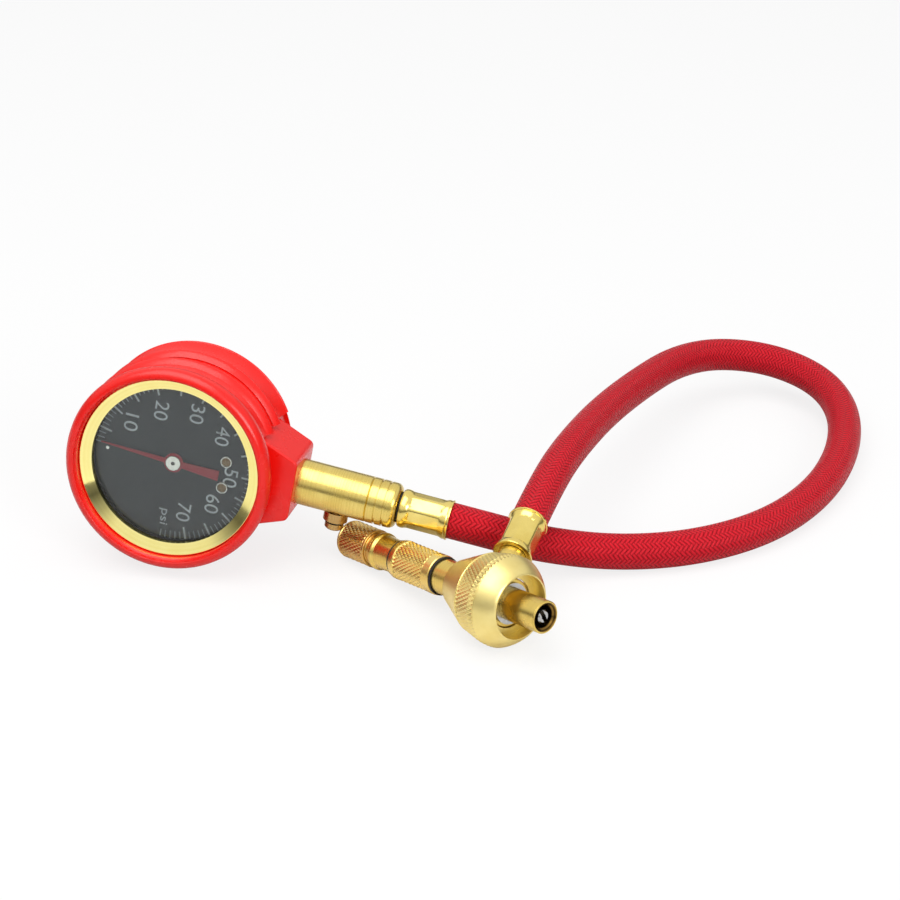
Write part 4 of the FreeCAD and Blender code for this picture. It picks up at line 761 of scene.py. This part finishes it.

# %% [markdown]
# ## The grip sleeve and the knob
# The sleeve is fixed to the spindle and turns the nose; the knob pulls the core tool. Both are
# knurled between plain rims. The knob has a narrow neck and a rounded end. Its brass is drawn
# darker and browner than the head's, partly its own browned tone and partly painted shade.

# %% Grip sleeve
SLEEVE_ROWS = 7
SLEEVE_START, SLEEVE_STOP = 55.6, 71.0
SLEEVE_OUTLINE = [(62.1, 4.25), (51.7, 4.25), (51.7, 6.65), (51.85, 7.0), (52.2, 7.2),
                  (55.3, 7.2), (55.45, 7.05)]
SLEEVE_OUTLINE += stations(SLEEVE_START, SLEEVE_STOP, SLEEVE_ROWS, 6.9)
SLEEVE_OUTLINE += [(71.15, 7.05), (71.3, 7.2), (73.0, 7.2), (73.4, 7.05), (73.6, 6.75),
                   (73.6, 4.85), (62.1, 4.85), (62.1, 4.25)]
sleeve = lathe("grip_sleeve_knurled", SLEEVE_OUTLINE, 32)
knurl(SLEEVE_START, SLEEVE_STOP, SLEEVE_ROWS, least=6.0, depth=0.3)
finish_piece(sleeve, HEAD, knurled_brass, "coupling", "head_brass", "grip_sleeve")

# %% Knob of the core tool
KNOB_ROWS = 5
KNOB_START, KNOB_STOP = 88.6, 101.1
KNOB_OUTLINE = [(98.2, 0.001), (98.2, 2.02), (85.7, 2.02), (85.7, 5.6), (85.9, 5.85),
                (86.3, 5.9), (87.2, 5.9), (87.4, 6.05), (87.4, 6.7), (87.5, 6.9), (87.75, 7.0),
                (88.25, 7.0), (88.45, 6.9)]
KNOB_OUTLINE += stations(KNOB_START, KNOB_STOP, KNOB_ROWS, 6.72)
KNOB_OUTLINE += [(101.25, 6.95)] + bow((101.25, 6.95), (103.15, 5.95), (104.0, 3.9), 6)
KNOB_OUTLINE += [(104.0, 0.001)]
knob = lathe("core_tool_knob", KNOB_OUTLINE, 32)
knurl(KNOB_START, KNOB_STOP, KNOB_ROWS, least=6.2, depth=0.28)
finish_piece(knob, HEAD, browned_and_shaded_knob_brass, "tool", "head_brass", "tool_knob")

# %% [markdown]
# ## The crimped ferrules
# Each ferrule is a thin brass sleeve that a press closes on the hose with eight dies. The dies
# leave eight flats with a narrow round strip between each pair, and the two ends stay round as
# slightly flared rims. The sleeve is turned first; then its top is pressed flat and the whole is
# turned by an eighth, eight times.

# %% Ferrules
FLATS = 8
FLAT_HEIGHT = 6.28           # mm, from the axis
FLAT_ROWS = 6


def ferrule(name, start, skirt, place, material, *nodes):
    """A crimped sleeve along X from a station. Its skirt reaches back over the joint before it."""
    end = start + FERRULE_LENGTH
    outline = [(start + 1.2, 3.35), (start, 3.35), (start, 5.75), (start - skirt, 5.75),
               (start - skirt, 6.6), (start + 0.15 - skirt / 2, 6.95), (start + 0.5, 7.05),
               (start + 1.3, 7.0), (start + 1.9, 6.8), (start + 2.4, 6.65), (start + 2.9, 6.6)]
    outline += [(start + 2.9 + (FERRULE_LENGTH - 6.6) * k / FLAT_ROWS, 6.6)
                for k in range(1, FLAT_ROWS + 1)]
    outline += [(end - 3.2, 6.62), (end - 2.6, 6.75), (end - 1.9, 7.05), (end - 1.2, 7.1),
                (end - 0.9, 6.95), (end - 0.75, 6.95), (end - 0.6, 7.2), (end - 0.15, 7.25),
                (end, 7.05), (end, 5.9), (start + 1.2, 5.9), (start + 1.2, 3.35)]
    piece = lathe(name, outline, 96)
    for die in range(FLATS):
        pick("VERT", lambda corners: start + 2.8 < corners[0].x < end - 3.3
             and corners[0].z > FLAT_HEIGHT)
        bpy.ops.transform.resize(value=(1, 1, 0), center_override=(0, 0, FLAT_HEIGHT * MM))
        bpy.ops.mesh.select_all(action="SELECT")
        bpy.ops.transform.rotate(value=2 * math.pi / FLATS, orient_axis="X",
                                 center_override=(0, 0, 0))
    finish_piece(piece, place, material, "frame", "ferrule_brass", *nodes)


ferrule("stem_ferrule", FERRULE_START, 0.8, GAUGE, crimped_gauge, "gauge_ferrule")
ferrule("port_ferrule", PORT_FERRULE, 0.05, PORT, crimped_port, "head_ferrule")

# %% [markdown]
# ## The dial's print
# The scale runs clockwise from just under the needle's rest mark: 3.71 degrees for each pound per
# square inch, a longer mark at each five but the last, and a number at each ten. It is printed in
# white, two hundredths of a millimetre thick here. Marks are copied round the dial; numbers are
# text made a mesh, each fitted to its height and width.

# %% Making marks and lettering
DIAL_FACE = 12.4             # mm, along the dial's axis
PRINT = 0.02                 # mm, thickness
TEXT_EXTRUDE = 0.01          # half the thickness of the text before it is fitted


def mark(inner, outer, width):
    """A printed bar on the dial, along X, between two radii."""
    bpy.ops.object.select_all(action="DESELECT")
    middle = (inner + outer) / 2 * MM
    bpy.ops.mesh.primitive_plane_add(size=MM, location=(middle, 0, DIAL_FACE * MM))
    bpy.context.object.scale = (outer - inner, width, 1)
    bpy.ops.object.transform_apply(location=True, rotation=True, scale=True)
    bpy.ops.object.mode_set(mode="EDIT")
    bpy.ops.mesh.extrude_region_move(TRANSFORM_OT_translate={"value": (0, 0, PRINT * MM)})
    bpy.ops.mesh.select_all(action="SELECT")
    bpy.ops.mesh.normals_make_consistent(inside=False)
    bpy.ops.object.mode_set(mode="OBJECT")
    return bpy.context.object


def lettering(text, centre, height, width):
    """Generic lettering on the dial, read towards -Y, as a mesh of this height and width."""
    bpy.ops.object.select_all(action="DESELECT")
    bpy.ops.object.text_add()
    bpy.context.object.data.body = text
    bpy.context.object.data.extrude = TEXT_EXTRUDE
    bpy.ops.object.convert(target="MESH")
    made = bpy.context.object
    corners = [vertex.co for vertex in made.data.vertices]
    lowest = Vector((min(c.x for c in corners), min(c.y for c in corners), 0))
    highest = Vector((max(c.x for c in corners), max(c.y for c in corners), 0))
    span = highest - lowest
    shrink = Matrix.Diagonal((width * MM / span.x, height * MM / span.y,
                              PRINT * MM / (2 * TEXT_EXTRUDE), 1))
    middle = Matrix.Translation(-(lowest + highest) / 2)
    spot = Matrix.Translation((centre[0] * MM, centre[1] * MM, (DIAL_FACE + PRINT / 2) * MM))
    settle(made, spot @ turn(-90, "Z") @ shrink @ middle)
    return made


# %% Marks and numbers
FIRST_ANGLE = 173.4          # degrees, where 0 psi would be
STEP_ANGLE = 3.71            # degrees for each psi
FIRST_MARK, LAST_MARK = 2, 75
NUMBER_HEIGHT, NUMBER_WIDTH, TEN_WIDTH = 5.1, 7.0, 6.4
# Each number's middle, in millimetres from the dial's middle.
NUMBERS = {"10": (-17.8, 10.3), "20": (-7.7, 17.5), "30": (5.2, 19.6), "40": (15.5, 13.9),
           "50": (20.9, -0.7), "60": (16.0, -12.2), "70": (6.3, -18.1)}
long_mark = mark(24.8, 29.4, 0.7)
short_mark = mark(26.6, 29.4, 0.36)
printed, fine = [], []
for psi in range(FIRST_MARK, LAST_MARK + 1):
    is_short = psi % 5 or psi == LAST_MARK
    model, group = (short_mark, fine) if is_short else (long_mark, printed)
    copy = model.copy()
    copy.data = model.data.copy()
    bpy.context.scene.collection.objects.link(copy)
    copy.data.transform(turn(-(FIRST_ANGLE + STEP_ANGLE * psi), "Z"))
    group.append(copy)
bpy.data.objects.remove(long_mark)
bpy.data.objects.remove(short_mark)
for text, centre in NUMBERS.items():
    width = TEN_WIDTH if text == "10" else NUMBER_WIDTH
    printed.append(lettering(text, centre, NUMBER_HEIGHT, width))
printed.append(lettering("psi", (-0.8, -21.7), 3.8, 6.0))
for name, group, paint in (("dial_marks", printed, dial_white),
                           ("dial_fine_marks", fine, dial_grey)):
    finish_piece(join_as(name, group), GAUGE, paint, "frame", "dial_print")

# %% [markdown]
# ## The dial's screws
# Two screws hold the dial. Each has a bright rim and a bronzed head with a cross slot, which two
# thin blocks cut.

# %% Dial screws
SCREW_DISTANCE = 19.2        # mm, from the dial's middle
SCREW_ANGLE = 15.0           # degrees, each side of the stem's line
SLOT_BLOCK = (0.5, 2.7, 0.5)             # mm, deep, long and wide
SLOT_AT = 0.01279            # m, middle of the block along the screw
SCREW_HEAD = [(10.2, 0.001), (10.2, 0.8), (12.4, 0.8), (12.4, 2.0), (12.5, 2.12),
              (12.85, 2.12), (12.85, 1.62), (12.75, 1.5), (12.74, 0.001)]
SCREW_RIM = [(12.85, 1.6), (12.85, 2.1), (13.0, 2.15), (13.12, 2.0), (13.12, 1.75),
             (13.0, 1.6), (12.85, 1.6)]
heads, rims = [], []
for side in (-1, 1):
    where = math.radians(side * SCREW_ANGLE)
    spot = Vector((SCREW_DISTANCE * MM * math.cos(where),
                   -SCREW_DISTANCE * MM * math.sin(where), 0))
    screw = lathe("screw_head", SCREW_HEAD, 32)
    bpy.ops.object.mode_set(mode="OBJECT")
    for degrees in (20, 110):
        bpy.ops.object.select_all(action="DESELECT")
        bpy.ops.mesh.primitive_cube_add(size=MM)
        block = bpy.context.object
        settle(block, Matrix.Translation((SLOT_AT, 0, 0)) @ turn(degrees, "X")
               @ Matrix.Diagonal((*SLOT_BLOCK, 1)))
        cut_away(screw, block)
    rim = lathe("screw_rim", SCREW_RIM, 32)
    bpy.ops.object.mode_set(mode="OBJECT")
    for made, group in ((screw, heads), (rim, rims)):
        made.data.transform(Matrix.Translation(spot) @ turn(-90, "Y"))
        group.append(made)
finish_piece(join_as("dial_screw_heads", heads), GAUGE, bronzed_steel, "frame", "screw_steel",
             "dial_screws")
finish_piece(join_as("dial_screw_rims", rims), GAUGE, hub_steel, "frame", "screw_steel")

# %% [markdown]
# ## Floor
# The photograph was taken on white. The floor is near white to the camera and in what the metal
# mirrors, and greyer as light on the object, so that the lower sides stay deep. To the camera four
# fifths of it is a white glow, which keeps it white and its shadows pale.

# %% Floor
FLOOR_SIZE = 8               # m
FLOOR_GLOW = 0.8
bpy.ops.object.select_all(action="DESELECT")
bpy.ops.mesh.primitive_plane_add(size=FLOOR_SIZE)
floor = bpy.context.object
floor.name = "floor"
paper, tree = start_material("white_paper_floor")
rays = add(tree, "LightPath").node.outputs
direct = add(tree, "Math", {0: rays["Is Camera Ray"], 1: rays["Is Transmission Ray"]},
             operation="MAXIMUM")
glow = add(tree, "Math", {0: direct, 1: FLOOR_GLOW}, operation="MULTIPLY")
shown = add(tree, "Math", {0: direct, 1: rays["Is Glossy Ray"]}, operation="MAXIMUM")
tone = add(tree, "Mix", {0: shown, 6: colour("B4B4B4"), 7: colour("F4F4F4")}, out=2,
           data_type="RGBA")
matt = add(tree, "BsdfDiffuse", {"Color": tone})
white = add(tree, "Emission", {"Color": colour("FFFFFF"), "Strength": 1.0})
both = add(tree, "MixShader", {0: glow, 1: matt, 2: white})
add(tree, "OutputMaterial", {"Surface": both})
floor.data.materials.append(paper)
print("floor is", FLOOR_SIZE, "m wide")

# %% [markdown]
# ## Light and background
# The background is pure white, and the light is soft: a dim even sky and two soft boxes. A dark
# band near the horizon of what the metal sees stands for the unlit room, because turned brass shows
# its shape by such bands.

# %% World
BANDS = ((0.0, 0.25), (0.10, 0.12), (0.25, 0.45), (0.38, 0.95), (0.75, 1.0))  # height, level
SKY_LOW, SKY_HIGH = 0.2, 0.55
world = bpy.data.worlds.new("studio")
bpy.context.scene.world = world
world.use_nodes = True
tree = world.node_tree
tree.nodes.clear()
rays = add(tree, "LightPath").node.outputs
way_up = add(tree, "SeparateXYZ", {"Vector": add(tree, "TexCoord", out="Generated")}, out="Z")
band = add(tree, "ValToRGB", {"Fac": way_up})
stops = band.node.color_ramp.elements
stops[0].position, stops[1].position = BANDS[0][0], BANDS[-1][0]
for place, _ in BANDS[1:-1]:
    stops.new(place)
for stop, (_, level) in zip(stops, BANDS):
    stop.color = (level, level, level, 1)
mirrored = add(tree, "Background", {"Color": band, "Strength": 1.0})
sky = add(tree, "MapRange", {"Value": way_up, "To Min": SKY_LOW, "To Max": SKY_HIGH})
light = add(tree, "Background", {"Color": (1, 1, 1, 1), "Strength": sky})
white = add(tree, "Background", {"Color": (1, 1, 1, 1), "Strength": 1.0})
direct = add(tree, "Math", {0: rays["Is Camera Ray"], 1: rays["Is Transmission Ray"]},
             operation="MAXIMUM")
lighting = add(tree, "MixShader", {0: rays["Is Glossy Ray"], 1: light, 2: mirrored})
all_rays = add(tree, "MixShader", {0: direct, 1: lighting, 2: white})
add(tree, "OutputWorld", {"Surface": all_rays})
print("world has", len(stops), "bands")


# %% Lamps
def lamp(name, place, size, power):
    """A square soft box that looks at the middle of the object."""
    data = bpy.data.lights.new(name, "AREA")
    data.size = size
    data.energy = power
    box = bpy.data.objects.new(name, data)
    bpy.context.scene.collection.objects.link(box)
    box.location = place
    box.rotation_euler = (aim - Vector(place)).to_track_quat("-Z", "Y").to_euler()
    print(name, size, "m,", power, "W")


lamp("soft_box_over", (-0.25, -0.35, 1.5), size=1.5, power=18)
lamp("soft_box_front", (0.9, -1.3, 0.8), size=0.7, power=12)
bpy.context.scene.view_settings.view_transform = "Standard"
